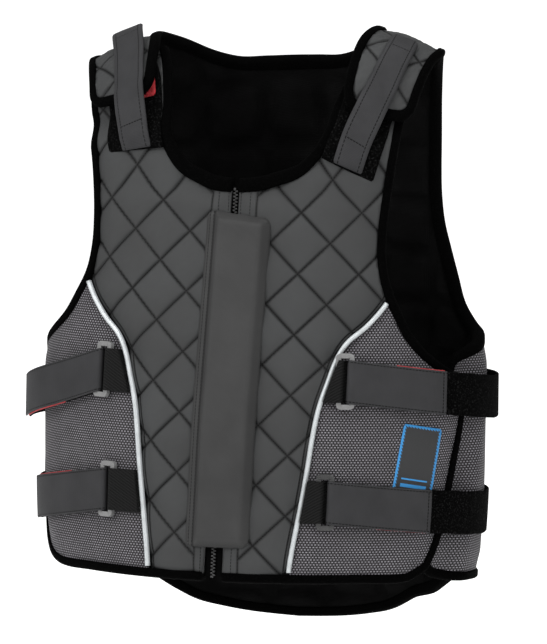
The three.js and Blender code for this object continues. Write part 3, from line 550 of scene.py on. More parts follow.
def quiltedFabric(name, origin, plackets):
    look = {"base": grey(55, (0.96, 1.0, 1.02)), "shade": grey(42), "threadAndCreaseShade": grey(2), "stitch": (0.55, 3.2),
            "placketStitch": (0.4, 3.0), "seamStitch": (0.55, 3.0, 0.8), "seamStitchAt": 5.4, "zipStitchAt": 6.0,
            "placketStitchBefore": 6.5, "shadedCrease": (3.0, 0.3), "shadedFold": (2.2, 0.0), "seamFoldAt": 5.2,
            "shadedSeamFold": (1.4, 0.2), "weave": 0.55}
    s = Shader(name)
    across = s.across.abs() if plackets else s.across
    acrossShare, alongShare = (across - origin[0]) / origin[2], (s.along - origin[1]) / quilt["diagonal"]
    right, left = acrossShare + alongShare, acrossShare - alongShare
    between = 1 / math.hypot(1 / origin[2], 1 / quilt["diagonal"])
    rightOff, leftOff = (((way + 0.5).fract() - 0.5) * between for way in (right, left))
    lattice = stitches(rightOff, left * quilt["diagonal"], *look["stitch"]).most(
        stitches(leftOff, right * quilt["diagonal"], *look["stitch"]))
    # the crease masks mark the dips beside the stitches, at the placket fold and by the seam; they shape the bump and
    # paint shade into the colour
    shadedCrease = rightOff.abs().least(leftOff.abs()).between(*look["shadedCrease"])
    if plackets:
        fromSeam, seamRun = s.uvMap("seam")
        quilted = across.more(plackets)
        lines = stitches(fromSeam - look["seamStitchAt"], seamRun, *look["seamStitch"])
        for place in (look["zipStitchAt"], plackets - look["placketStitchBefore"], plackets):
            lines = lines.most(stitches(across - place, s.along, *look["placketStitch"]))
        lattice = (lattice * quilted).most(lines)
        shadedCrease = (shadedCrease * quilted).most((across - float(plackets)).abs().between(*look["shadedFold"]))
        shadedCrease = shadedCrease.most((fromSeam - look["seamFoldAt"]).abs().between(*look["shadedSeamFold"]))
    cloud = s.noise(22.0, 3.0)
    base = s.colour(cloud, look["shade"], look["base"])
    # painted shade: creases and folds are darkened towards the black of the thread
    base = s.colour(shadedCrease * (cloud * 0.5 + 0.45), base, look["threadAndCreaseShade"])
    base = s.colour(lattice, base, look["threadAndCreaseShade"])
    normal = s.bump(shadedCrease * -1.0 - lattice * 0.4, 0.0006, 0.7, s.bump(s.weave(look["weave"]), 0.00012, 0.5))
    return s.finish(Base_Color=base, Roughness=cloud * 0.14 + 0.5, Normal=normal, Specular_IOR_Level=0.12)


def airMesh(name):
    look = {"light": grey(119, (1.0, 0.95, 1.04)), "dark": grey(8, (1.0, 0.9, 0.96)), "column": 3.1, "row": 2.3}
    s = Shader(name)
    row = s.along / look["row"]
    shift = (row.floor() * 0.5).fract() * look["column"]
    x = (((s.across + shift) / look["column"]).fract() - 0.5) * look["column"]
    y = (row.fract() - 0.5) * look["row"]
    dot = ((x * x) * 0.42 + (y * y) * 1.35).between(0.62, 0.18)
    strands = ((s.across * (math.pi / look["column"] * 2)).sin().abs()).between(0.75, 1.0) * 0.22
    mask = (dot * (s.noise(60.0) * 0.7 + 0.55)).most(strands)
    base = s.colour(mask, look["dark"], look["light"])
    return s.finish(Base_Color=base, Roughness=0.75, Normal=s.bump(mask, 0.0006, 0.8), Specular_IOR_Level=0.25)


def fuzzy(name, level, scale=900.0, depth=0.0012, lint=0.0):
    s = Shader(name)
    fur = s.noise(scale, 4.0)
    base = s.colour(fur.between(0.5, 0.85), grey(level - 2), grey(level + 6 + lint))
    normal = s.bump(fur + s.noise(scale / 5, 3.0) * 0.6, depth, 0.9)
    return s.finish(Base_Color=base, Roughness=0.98, Normal=normal, Specular_IOR_Level=0.02)


def coverCloth(cover):
    look = {"stitch": (0.42, 3.2), "stitchIn": 3.2, "stitchBefore": 1.2, "shadedFold": (1.6, 0.0), "weave": 0.5}
    s = Shader("coverCloth")
    flangeLine = s.across + float(cover["inner"])
    seam = stitches(flangeLine - look["stitchIn"], s.along, *look["stitch"])
    seam = seam.most(stitches(flangeLine - cover["flange"] + look["stitchBefore"], s.along, *look["stitch"]))
    shadedCrease = (flangeLine - float(cover["flange"])).abs().between(*look["shadedFold"])
    wear = s.noise(30.0, 4.0)
    base = s.colour(wear, grey(38), grey(51))
    # painted shade: the fold at the flange's edge is darkened, together with the dark stitches
    base = s.colour((shadedCrease * 0.7).most(seam), base, grey(4))
    normal = s.bump(wear * 0.6 - seam * 0.4, 0.0009, 0.5, s.bump(s.weave(look["weave"]), 0.0001, 0.45))
    return s.finish(Base_Color=base, Roughness=wear * 0.12 + 0.46, Normal=normal, Specular_IOR_Level=0.12)


def tabCloth(name, half, crossings):
    look = {"margin": 4.3, "stitch": (0.45, 3.0), "rib": 1.1, "weave": 0.8, "tint": (1.0, 1.0, 1.06)}
    s = Shader(name)
    edge = half - look["margin"]
    mask = stitches(s.across.abs() - edge, s.along, *look["stitch"])
    within = s.across.abs().less(edge)
    for place in crossings:
        mask = mask.most(stitches(s.along - place, s.across, *look["stitch"]) * within)
    ribs = ((s.along * (math.pi / look["rib"])).sin().abs()) * 0.6 + s.weave(look["weave"]) * 0.6
    base = s.colour(s.noise(50.0, 3.0) * 0.6 + ribs * 0.4, grey(24, look["tint"]), grey(47, look["tint"]))
    base = s.colour(mask, base, grey(2))
    normal = s.bump(mask * -1.0, 0.0007, 0.8, s.bump(ribs, 0.00018, 0.6))
    return s.finish(Base_Color=base, Roughness=0.66, Normal=normal, Specular_IOR_Level=0.12)


def mouldedPlastic(name, level):
    return plainFinish(name, lambda s: s.noise(700.0), grey(level - 8), grey(level + 8), (0.00008, 0.4), Roughness=0.38)


def patchCloth(patch):
    look = {"border": 1.3, "tooth": (3.0, 3.2), "bars": ((10.0, 1.6), (16.0, 0.7)), "barInset": 6.5, "weave": 0.45,
            "ground": grey(12, (0.8, 0.9, 1.1)), "blue": grey(178, (0.03, 0.42, 1.0))}
    s = Shader("patchCloth")
    fromSide = patch["width"] / 2 - (s.across - float(patch["across"])).abs()
    fromEnd = patch["height"] / 2 - (s.along - float(patch["foot"] + patch["height"] / 2)).abs()
    edge = fromSide.least(fromEnd)
    saw = (((s.across + s.along) / look["tooth"][0]).fract() - 0.5).abs() * look["tooth"][1]
    border = (edge - look["border"] - saw).between(0.35, -0.35)
    local = s.along - float(patch["foot"])
    first, second = ((local - place).abs().less(half) for place, half in look["bars"])
    base = s.colour(border.most(first.most(second) * fromSide.more(look["barInset"])), look["ground"], look["blue"])
    return s.finish(Base_Color=base, Roughness=0.6, Normal=s.bump(s.weave(look["weave"]) + border, 0.0003, 0.6))


# Front and back panels
quilt = {"diagonal": 55.6, "back": (0, 268, 55.6), "pull": 3.8, "sharp": 0.42, "fine": 16, "plackets": 22}
shell = {"wall": 7.5, "edgeDrop": 3, "edgeRun": 22, "seamGap": 1.4, "seamDip": 1.5, "seamRun": 7, "spacing": 4}
foam = {"wall": 17.5, "edgeWall": 11.5, "edgeRun": 12, "pitchAcross": 62, "pitchAlong": 47, "gap": 7.5, "round": 9,
        "slope": 4.5, "spacing": 4.2, "clear": 0.3}
pipe = {"across": 2.4, "stand": 2.9, "seat": -2.0}

binding = fuzzy("fuzzyBinding", 3)
lining = plainFinish("liningCloth", lambda s: s.weave(1.1), grey(2), grey(24), (0.0003, 0.6),
                     lambda s, knit: knit * s.noise(30.0), Roughness=0.9, Specular_IOR_Level=0.02)
mesh = airMesh("airMesh")
piping = plainFinish("reflectivePiping", lambda s: s.weave(0.7), grey(150, (0.95, 1.0, 1.02)),
                     grey(182, (0.95, 1.0, 1.02)), (0.0001, 0.5), lambda s, beads: s.noise(140.0, 3.0),
                     Roughness=0.32, Metallic=0.25)


def puff(points, origin):
    across, along = (points[:, 0] - origin[0]) / origin[2], (points[:, 1] - origin[1]) / quilt["diagonal"]
    return np.abs(np.sin((across + along) * math.pi) * np.sin((across - along) * math.pi)) ** quilt["sharp"]


def pucker(points):  # small creases of sewn cloth, the same each run
    a, s = points[:, 0], points[:, 1]
    return (np.sin(a * 0.71 + s * 0.23 + 1.3) * np.sin(s * 0.53 - a * 0.31)
            + 0.6 * np.sin(a * 1.37 - s * 1.11 + 0.4) * np.sin(s * 0.93 + a * 0.57 + 2.1))


def slump(points):  # the long soft dents of a hanging vest
    a, s = points[:, 0], points[:, 1]
    return np.sin(s * 0.021 + a * 0.009) * np.cos(a * 0.027 - 0.6) * 1.2


def bigSide(seam, offset):  # polygon of all that lies on the centre side of a seam
    line = offsetLine(seam, offset)
    far = 1300
    return np.vstack([[[-far, -far], [line[0][0], -far]], line,
                      [[far, line[-1][1]], [far, far], [-far, far]]])


def keepFaces(fill, mask):
    points, triangles = fill[0], fill[1][mask]
    used = np.unique(triangles)
    new = np.full(len(points), -1)
    new[used] = np.arange(len(used))
    return points[used], new[triangles]


def foamDepth(points, wallEdge):
    pitch = np.array([foam["pitchAcross"], foam["pitchAlong"]])
    a = (np.abs(points[:, 0]) + 0.5 * pitch[0]) % pitch[0] - 0.5 * pitch[0]
    s = (points[:, 1] + 20) % pitch[1] - 0.5 * pitch[1]
    off = np.abs(np.c_[a, s]) - (pitch / 2 - foam["gap"] / 2 - foam["round"])
    outside = np.linalg.norm(np.maximum(off, 0), axis=1) + np.minimum(off.max(axis=1), 0) - foam["round"]
    block = ease(-outside / foam["slope"])
    return -foam["edgeWall"] - (foam["wall"] - foam["edgeWall"]) * block * wallEdge


def addLining(name, where, outline, origin):
    piece = thickPiece(f"lining_{name}", where, fillOutline(outline, foam["spacing"], origin),
                       -shell["wall"] - foam["clear"],
                       lambda points: foamDepth(points, ease(distanceTo(outline, points) / foam["edgeRun"])), lining)
    dress(piece, [])


def addSeamMap(piece, seam, sign):  # distance from the piping and run along it, for the seam's stitches
    flat = np.empty(2 * len(piece.data.loops))
    piece.data.uv_layers["flat"].data.foreach_get("uv", flat)
    points = flat.reshape(-1, 2) * 1000 * [sign, 1]
    near = distanceTo(seam, points, closed=False)
    uv = piece.data.uv_layers.new(name="seam")
    uv.data.foreach_set("uv", (np.stack([near, points[:, 1]], axis=1) / 1000).ravel())


def addFront(side):
    name, layout = side["name"], side["quilt"]
    where = ("front", side["sign"], frontLayer)
    edge = frontEdge(side)
    outline = offsetLine(edge, edging["width"] - edging["lap"])
    seam = splinePoints(frontPipingRows, frontRidge, shell["spacing"])
    spacing, origin = np.array([layout[2], quilt["diagonal"]]) / quilt["fine"], np.array(layout[:2])
    full = fillOutline(outline, spacing, origin, [offsetLine(seam, way * shell["seamGap"]) for way in (1, -1)])
    centres = full[0][full[1]].mean(axis=1)
    beside = shell["seamGap"] - 0.1
    inner, outer = insideOf(bigSide(seam, beside), centres), ~insideOf(bigSide(seam, -beside), centres)

    def sink(points):
        least = np.minimum(distanceTo(outline, points), distanceTo(seam, points, closed=False))
        return -shell["edgeDrop"] * (1 - ease(least / shell["edgeRun"]))

    def quiltOuter(points):
        flatPart = ease((quilt["plackets"] + 2 - points[:, 0]) / 4)
        raised = quilt["pull"] * (1 - puff(points, layout)) * (1 - flatPart) + 0.8 * flatPart
        return sink(points) - raised + 0.16 * pucker(points) + slump(points) * 0.6

    piece = thickPiece(f"quilted_front_{name}", where, keepFaces(full, inner), quiltOuter, -shell["wall"],
                       quiltedFabric(f"quiltedFront{name}", layout, quilt["plackets"]))
    addSeamMap(piece, seam, side["sign"])
    dress(piece, [f"front_panel_{name}"])
    piece = thickPiece(f"mesh_front_{name}", where, keepFaces(full, outer),
                       lambda points: sink(points) + slump(points) * 0.8, -shell["wall"], mesh)
    dress(piece, [f"front_mesh_{name}"])
    addLining(f"front_{name}", where, outline, origin)
    circle = [(pipe["across"] * math.cos(t), pipe["seat"] + pipe["stand"] * math.sin(t))
              for t in np.linspace(0, 2 * math.pi, 13)[:-1]]
    piece = sweptPiece(f"piping_{name}", where, seam[insideOf(outline, seam)], circle, False, piping)
    dress(piece, [f"front_piping_{name}"])
    piece = sweptPiece(f"binding_front_{name}", where, edge, edgingSection(), False, binding)
    dress(piece, [f"front_binding_{name}"])


def edgingSection():
    top, bottom, width, lap, bulge = (edging[key] for key in ("top", "bottom", "width", "lap", "bulge"))
    outerRound = [(bulge - bulge * math.cos(t), (top + bottom) / 2 + (top - bottom) / 2 * math.sin(t))
                  for t in np.linspace(-math.pi / 2, math.pi / 2, 9)]
    return [(width, bottom + lap), (width - 1.5, bottom)] + outerRound + [(width - 1.5, top), (width, top - lap)]


def addBack():
    where = ("back", 1, backLayer)
    loop = backEdge()
    outline = offsetLine(loop, edging["width"] - edging["lap"], closed=True)
    seam = splinePoints(backSeamRows, backRidge, shell["spacing"])
    other = seam * [-1, 1]
    full = fillOutline(outline, quilt["diagonal"] / quilt["fine"], np.array(quilt["back"][:2]), [seam, other])
    centres = full[0][full[1]].mean(axis=1)
    centre = insideOf(bigSide(seam, 0), centres) & insideOf(bigSide(seam, 0), centres * [-1, 1])

    def sink(points):
        near = np.minimum(distanceTo(seam, points, closed=False), distanceTo(other, points, closed=False))
        return (-shell["edgeDrop"] * (1 - ease(distanceTo(outline, points) / shell["edgeRun"]))
                - shell["seamDip"] * (1 - ease(near / shell["seamRun"])))

    def quiltOuter(points):
        low = quilt["pull"] * (1 - puff(points, quilt["back"]))
        flap = ease((points[:, 1] - backRidge + 30) / 40)
        return sink(points) - low + (0.16 + 0.8 * flap) * pucker(points) + 0.5 * slump(points)

    piece = thickPiece("quilted_back", where, keepFaces(full, centre), quiltOuter, -shell["wall"],
                       quiltedFabric("quiltedBack", quilt["back"], 0))
    dress(piece, ["back_panel"])
    for name, sign in (("left", 1), ("right", -1)):
        piece = thickPiece(f"mesh_back_{name}", where, keepFaces(full, ~centre & (centres[:, 0] * sign > 0)),
                           lambda points: sink(points) + 0.6 * slump(points), -shell["wall"], mesh)
        dress(piece, [f"back_mesh_{name}"])
    addLining("back", where, outline, np.array([0.0, 0.0]))
    piece = sweptPiece("binding_back", where, loop, edgingSection(), True, binding)
    dress(piece, ["back_binding"])


sides = [
    {"name": "left", "sign": 1, "tabLift": 1.0, "flap": 14, "flapIn": 0.02, "hookShift": 7, "gap": gap["bottomLeft"],
     "edge": (frontSideRows, frontArmholeRows, frontNeckRows), "quilt": (35.6, 262.6, 58), "tabWidth": 28.6,
     "foot": (27.5, -7.7), "tabAcross": [107.5, 115.5, 126.0, 136.5, 144.5, 147.0],
     "tabAlong": [437.8, 458.9, 481.4, 509.4, 546.6, 574.0],
     "tape": [(82.5, 444), (132.5, 428.5), (145.5, 465), (156, 510), (160, 568), (118, 568), (103, 510), (93, 468)]},
    {"name": "right", "sign": -1, "tabLift": 9.0, "flap": 0, "flapIn": 0.031, "hookShift": -8,
     "gap": gap["bottomRight"], "edge": (wideSideRows, wideArmholeRows, wideNeckRows), "quilt": (43.6, 271.6, 60),
     "tabWidth": 32, "foot": (32.9, -2.0), "tabAcross": [102.4, 108.2, 116.0, 123.6, 131.0, 139.5],
     "tabAlong": [449.8, 468.6, 493.0, 524.0, 560.0, 598.0],
     "tape": [(73, 449.5), (135, 448.5), (149, 478), (160, 515), (164, 568), (118, 568), (95, 512), (85, 474)]},
]
addBack()
for side in sides:
    addFront(side)
print("panels, linings, piping and bindings made")

# Zip and its cover
cover = {"inner": 25, "outer": 37, "foot": 93, "length": 310, "padding": 11.0, "flange": 8, "flangeWall": 2.0,
         "slope": 8.5, "round": 7, "seat": -0.6, "footLean": 5.0, "topFall": 0.12}
zipper = {"depth": -7, "tapeWall": 1.3, "toothPitch": 3.2, "tooth": (2.6, 1.5, 2.2), "seat": 1.6}
flatFront = ("front", 1, flatLayer)


def roundedBox(low, high, radius, spacing=4):
    mid = (low[0] + high[0]) / 2
    corners = [(mid, low[1]), (high[0], low[1]), high, (low[0], high[1]), low, (mid, low[1])]
    return roundedLoop(corners, radius, spacing)


def applyModifier(piece, kind, **settings):
    modifier = piece.modifiers.new(kind, kind)
    for key, value in settings.items():
        setattr(modifier, key, value)
    bpy.ops.object.modifier_apply(modifier=kind)


def addZip():
    foot = frontSideRows["up"][0] * frontRidge + 5
    top = frontNeckRows["up"][-1] * frontRidge - edging["width"]
    tape = np.array([(gap["bottomLeft"] - 0.3, foot), (gap["top"] - 0.3, top),
                     (-gap["top"] + 0.3, top), (-gap["bottomRight"] + 0.3, foot)])
    tape = np.vstack([np.linspace(a, b, 60, endpoint=False) for a, b in zip(tape, np.roll(tape, -1, axis=0))])
    cloth = plainFinish("zipCloth", lambda s: s.weave(0.9), grey(1), grey(6), (0.0003, 0.7), Roughness=0.9,
                        Specular_IOR_Level=0.03)
    piece = thickPiece("zip_cloth", flatFront, fillOutline(tape, 4.0), zipper["depth"],
                       zipper["depth"] - zipper["tapeWall"], cloth)
    dress(piece, ["zip_tape"])
    layOutline(tape)
    # one tooth, shaped once and copied up both sides of the chain
    bpy.ops.object.select_all(action="DESELECT")
    bpy.ops.mesh.primitive_cube_add(size=1)
    tooth = bpy.context.object
    bpy.ops.object.mode_set(mode="EDIT")
    bpy.ops.transform.resize(value=zipper["tooth"])
    bpy.ops.object.mode_set(mode="OBJECT")
    applyModifier(tooth, "BEVEL", width=0.4, segments=2)
    shape = np.array([v.co[:] for v in tooth.data.vertices])
    toothFaces = [list(p.vertices) for p in tooth.data.polygons]
    bpy.data.objects.remove(tooth)
    verts, faces = [], []
    count = int((top - foot) / zipper["toothPitch"] * 2)
    middle = (gap["bottomLeft"] - gap["bottomRight"]) / 2
    for k in range(count):
        share = k / count
        along = foot + (top - foot) * share
        across = middle * (1 - share) + (1.0 if k % 2 else -1.0)
        place = shape + [across, along, 0]
        base = len(verts) * len(shape)
        verts.append(placeOn("front", place[:, 0], place[:, 1], zipper["depth"] + zipper["seat"] + shape[:, 2]))
        faces += [[base + i for i in face] for face in toothFaces]
    verts = np.vstack(verts)
    piece = addMesh("zip_teeth", verts, faces, np.zeros((len(verts), 2)), mouldedPlastic("zipTeeth", 9), False)
    dress(piece, ["zip_chain"])

    outline = roundedBox((-cover["inner"], cover["foot"]), (cover["outer"], cover["foot"] + cover["length"]),
                         cover["round"])

    def padding(points):
        fromFlange = points[:, 0] + cover["inner"] - cover["flange"]
        fromEdge = distanceTo(outline, points)
        crown = ease(np.minimum(fromFlange + 1.2, fromEdge) / cover["slope"])
        raised = cover["flangeWall"] + (cover["padding"] - cover["flangeWall"]) * crown
        edgeRound = -1.2 * (1 - ease(fromEdge / 1.6))
        dents = 0.5 * np.sin(points[:, 1] * 0.034 + 0.8) * crown + 0.12 * pucker(points) * crown
        return cover["seat"] + raised + edgeRound + dents

    def lean(points):
        share = (points[:, 1] - cover["foot"]) / cover["length"]
        fall = cover["topFall"] * (points[:, 0] + cover["inner"]) * ease(2 * share - 1)
        return np.stack([points[:, 0] - cover["footLean"] * (1 - share), points[:, 1] - fall], axis=1)

    points, triangles = fillOutline(outline, 2.2)
    outer = padding(points)
    piece = thickPiece("padded_zip_cover", flatFront, (lean(points), triangles), lambda p: outer, cover["seat"],
                       coverCloth(cover), points)
    dress(piece, ["zip_cover"])


addZip()
print("zip and cover made")

# Shoulder fastening
shoulder = {"tabWall": 2.4, "tapeInner": 103, "tapeOuter": 146, "tapeWall": 1.6, "hookFoot": 494, "hookTop": 545,
            "hookWidth": 42, "hookLean": 14}
loopTape = fuzzy("loopTape", 4, 620.0, 0.0016, 22)
redHook = plainFinish("hookTape", lambda s: s.weave(1.3), grey(110, (1.0, 0.01, 0.02)), grey(195, (1.0, 0.01, 0.03)),
                      (0.0006, 0.8), Roughness=0.6)


def slantedStrip(foot, top, footMiddle, topMiddle, width, radius):
    half = width / 2
    corners = [(footMiddle, foot), (footMiddle + half, foot), (topMiddle + half, top), (topMiddle - half, top),
               (footMiddle - half, foot), (footMiddle, foot)]
    return roundedLoop(corners, radius, 3)


def addShoulder(side):
    name, sign = side["name"], side["sign"]
    where = ("front", sign, lambda across, along, depth: frontLayer(across, along, 0) + depth)
    outline = roundedLoop(side["tape"] + side["tape"][:1], 1.5, 3)
    piece = thickPiece(f"loop_tape_{name}", where, fillOutline(outline, 3.0),
                       lambda p: 0.4 + shoulder["tapeWall"] * ease(distanceTo(outline, p) / 1.5), 0.1, loopTape)
    dress(piece, [f"shoulder_loop_{name}"])
    layOutline(outline)
    middle = (shoulder["tapeInner"] + shoulder["tapeOuter"]) / 2 + side["hookShift"]
    outline = slantedStrip(shoulder["hookFoot"], shoulder["hookTop"], middle, middle + shoulder["hookLean"],
                           shoulder["hookWidth"], 3)
    piece = thickPiece(f"hook_tape_{name}", where, fillOutline(outline, 4.0), 3.4, 2.4, redHook)
    dress(piece, [f"shoulder_hook_{name}"])
    layOutline(outline)

    centres = evenly(smoothLine(np.c_[side["tabAcross"], side["tabAlong"]].astype(float)), 2.0)
    run = runAlong(centres)
    length, half = run[-1], side["tabWidth"] / 2
    turn = np.gradient(centres, axis=0)
    turn = unit(np.c_[turn[:, 1], -turn[:, 0]])
    foot = np.array(side["foot"]) / np.linalg.norm(side["foot"])
    turn = foot + (turn - foot) * ease(run / 40)[:, None]
    corners = [(0, 0), (half, 0), (half, length), (-half, length), (-half, 0), (0, 0)]
    outline = roundedLoop(corners, [0, 1.2, 10, 7, 1.2, 0], 2.2)
    flat, triangles = fillOutline(outline, 2.4)

    def onPanel(place):
        middle, beside = (np.c_[np.interp(place[:, 1], run, line[:, 0]), np.interp(place[:, 1], run, line[:, 1])]
                          for line in (centres, turn))
        return middle + beside * place[:, :1]

    overTape = ease(flat[:, 1] / 12) - ease((flat[:, 1] - 50) / 14)
    lift = 0.7 + 2.0 * overTape + side["tabLift"] * ease((flat[:, 1] - 88) / (length - 88))
    top = lift + shoulder["tabWall"] * (0.55 + 0.45 * ease(distanceTo(outline, flat) / 1.4)) + 0.1 * pucker(flat)
    cloth = tabCloth(f"shoulderTab{name}", half, [20.0, length - 24])
    piece = thickPiece(f"shoulder_strap_{name}", ("front", sign, flatLayer), (onPanel(flat), triangles), lambda p: top,
                       lambda p: lift, cloth, flat)
    layFlat([2 * half, length])
    dress(piece, [f"shoulder_tab_{name}"])


for side in sides:
    addShoulder(side)
print("shoulder tabs made")

# Side straps
strapSizes = {"width": 40, "wall": 2.2, "hookWall": 0.8, "base": 3.0, "endBehind": 396, "ringLength": 52,
              "ringWidth": 17, "rod": 4.6, "lift": 4.7, "clear": 0.3, "hookInset": 34}
straps = [
    {"level": "upper", "side": sides[0], "ring": 115, "height": 248, "drop": 19, "tabEnd": 207, "bow": 7.5,
     "hookShift": 0.9},
    {"level": "lower", "side": sides[0], "ring": 101, "height": 137, "drop": 17, "tabEnd": 198, "bow": -1.6,
     "hookShift": -0.4},
    {"level": "upper", "side": sides[1], "ring": 126, "height": 250, "drop": 44, "tabEnd": 241, "bow": 9,
     "hookShift": -1.0},
    {"level": "lower", "side": sides[1], "ring": 115, "height": 140, "drop": 26, "tabEnd": 230, "bow": -1.6,
     "hookShift": 1.0},
]
elastic = plainFinish("elasticCloth", lambda s: ((s.across * 0.8 + s.along * 0.45) * (math.pi / 2.2)).sin().abs(),
                      grey(2), grey(16), (0.0008, 0.9), Roughness=0.8, Specular_IOR_Level=0.1)
ringPlastic = mouldedPlastic("ringGrey", 96)
# a darker copy of the ring plastic, painted shade for one ring
shadedRingPlastic = mouldedPlastic("ringPaintedShade", 34)


def ribbon(name, sign, path, centre, width, wall, material, wave=0.0, least=None):
    # path runs in the plane of across and depth, the ribbon's width runs along
    path = evenly(np.array(path, float), 1.2)
    turn = unit(np.gradient(path, axis=0))
    normal = np.c_[-turn[:, 1], turn[:, 0]]
    run = runAlong(path)
    half, thick = width / 2, wall / 2
    corner = [(half - 0.8, -thick), (half, -thick * 0.4), (half, thick * 0.4), (half - 0.8, thick)]
    inner = np.linspace(-half + 3, half - 3, 9)
    section = [(-across, depth) for across, depth in corner[1::-1]] + [(across, -thick) for across in inner]
    section += corner + [(across, thick) for across in inner[::-1]]
    section += [(-across, depth) for across, depth in corner[:1:-1]]
    verts, flat = [], []
    for offset, depth in section:
        ripple = wave * np.sin(run * 1.9) * (1 if depth > 0 else 0.3)
        place = path + normal * (depth + ripple * np.sign(depth))[:, None]
        along = centre(place[:, 0]) + offset
        across = place[:, 0] if least is None else np.maximum(place[:, 0], least(along))
        verts.append(placeOn("front", sign * across, along, place[:, 1]))
        flat.append(np.c_[np.full(len(run), offset), run])
    return addTube(name, verts, flat, False, material)


def addRing(name, sign, strap, material):
    width, length, rod = strapSizes["ringWidth"], strapSizes["ringLength"], strapSizes["rod"]
    bpy.ops.object.select_all(action="DESELECT")
    bpy.ops.mesh.primitive_plane_add(size=1)
    ring = bpy.context.object
    bpy.ops.object.mode_set(mode="EDIT")
    bpy.ops.transform.resize(value=(width / 1000, length / 1000, 1))
    bpy.ops.mesh.select_mode(type="VERT")
    bpy.ops.mesh.bevel(offset=rod * 0.95 / 1000, segments=5, affect="VERTICES")
    bpy.ops.mesh.select_mode(type="FACE")
    bpy.ops.mesh.select_all(action="SELECT")
    bpy.ops.mesh.inset(thickness=rod / 1000, depth=0)
    bpy.ops.mesh.delete(type="FACE")
    bpy.ops.object.mode_set(mode="OBJECT")
    applyModifier(ring, "SOLIDIFY", thickness=rod / 1000, offset=0)
    applyModifier(ring, "BEVEL", width=rod * 0.42 / 1000, segments=4, angle_limit=math.radians(50))
    across, height = sign * strap["ring"], strap["height"]
    centre = placeOn("front", across, height, strapSizes["lift"])
    right, up = (placeOn("front", across + a, height + s, 0) - placeOn("front", across - a, height - s, 0)
                 for a, s in ((1, 0), (0, 1)))
    xAxis, yAxis = Vector(right).normalized(), Vector(up).normalized()
    zAxis = xAxis.cross(yAxis).normalized()
    yAxis = zAxis.cross(xAxis)
    turn = Matrix((xAxis, yAxis, zAxis)).transposed().to_4x4()
    ring.data.transform(Matrix.Translation(Vector(centre)) @ turn)
    ring.name = ring.data.name = name
    ring.data.materials.append(material)
    for polygon in ring.data.polygons:
        polygon.use_smooth = True
    return ring


def pathLength(path):
    return float(runAlong(np.array(path, float))[-1])


def addStrap(strap):
    sign = strap["side"]["sign"]
    sideName, size = strap["side"]["name"], strapSizes
    name = f"{strap['level']}_{sideName}"
    ring, end = strap["ring"], strap["tabEnd"]

    def centre(across):
        until = quarterGirth if sign > 0 else end + 4
        share = (np.minimum(across, until) - ring) / (quarterGirth - ring)
        return strap["height"] - strap["drop"] * np.clip(share, 0, 1)

    def bow(across):
        out = ease((across - ring - 30) / (quarterGirth - ring - 60))
        back = ease((across - quarterGirth - 8) / (size["endBehind"] - quarterGirth - 50))
        return size["base"] + strap["bow"] * (out - back)

    halfRing = (size["ringWidth"] - size["rod"]) / 2
    bend = size["rod"] / 2 + size["clear"] + size["wall"] / 2
    turns = np.linspace(0, math.pi, 12)

    # elastic: sewn under the piping, round the inner bar and back; its first stretch runs on under the ring's slot as a
    # dark strip of painted shadow
    def pipingAt(along):
        return columnAt(frontPipingRows, "across", along / frontRidge) * quarterGirth + 2.3

    seamAcross = float(np.min(pipingAt(strap["height"] + np.array([-size["width"] / 2, size["width"] / 2]))))
    bar = ring - halfRing
    path = [(ring + 2.6, 0.35), (seamAcross + 1, 0.35), (seamAcross, 0.8), (seamAcross + 1, 1.3), (bar - 6, 1.4)]
    path += [(bar + bend * math.sin(t), size["lift"] - bend * math.cos(t)) for t in turns]
    path += [(bar - 5, size["lift"] + bend - 1.0), (seamAcross + 1, 3.4)]
    piece = ribbon(f"elastic_band_{name}", sign, path, centre, size["width"] - 1, size["wall"] - 0.5, elastic, 0.22,
                   pipingAt)
    dress(piece, [f"elastic_{name}"])
    layFlat([size["width"] - 1, pathLength(path)])

    # tab: from under the ring's outer bar, round it and out over the strap
    bar = ring + halfRing
    over = size["wall"] + size["hookWall"] + 0.6 + size["wall"] / 2
    path = [(bar + 9, size["lift"] - bend + 0.4)]
    path += [(bar - bend * math.sin(t), size["lift"] - bend * math.cos(t)) for t in turns]
    path += [(across, float(bow(across)) + over) for across in np.arange(bar + 16, end, 4.0)]
    path += [(end, float(bow(end)) + over)]
    length = pathLength(path)
    cloth = tabCloth(f"strapTab{name}", size["width"] / 2 + 2.4, [length - 3.0])
    piece = ribbon(f"tab_{name}", sign, path, centre, size["width"], size["wall"], cloth)
    dress(piece, [f"strap_tab_{name}"])
    layFlat([size["width"], length])

    start = bar + bend + 3
    path = [(across, float(bow(across)) + size["wall"] / 2) for across in np.arange(start, size["endBehind"], 4.0)]
    piece = ribbon(f"loop_strap_{name}", sign, path, centre, size["width"], size["wall"], loopTape)
    dress(piece, [f"strap_loop_{name}"])
    layFlat([size["width"], pathLength(path)])

    lift = size["wall"] + 0.3 + size["hookWall"] / 2
    path = [(across, float(bow(across)) + lift) for across in np.arange(start + size["hookInset"], end - 0.5, 4.0)]
    piece = ribbon(f"hook_{name}", sign, path, lambda across: centre(across) + strap["hookShift"], size["width"] - 0.4,
                   size["hookWall"], redHook)
    dress(piece, [f"strap_hook_{name}"])
    layFlat([size["width"] - 0.4, pathLength(path)])

    # the lower left ring takes the darker copy as painted shade
    dark = name == "lower_left"
    piece = addRing(f"loop_ring_{name}", sign, strap, shadedRingPlastic if dark else ringPlastic)
    dress(piece, [f"ring_{name}"])


for strap in straps:
    addStrap(strap)
print("side straps made")


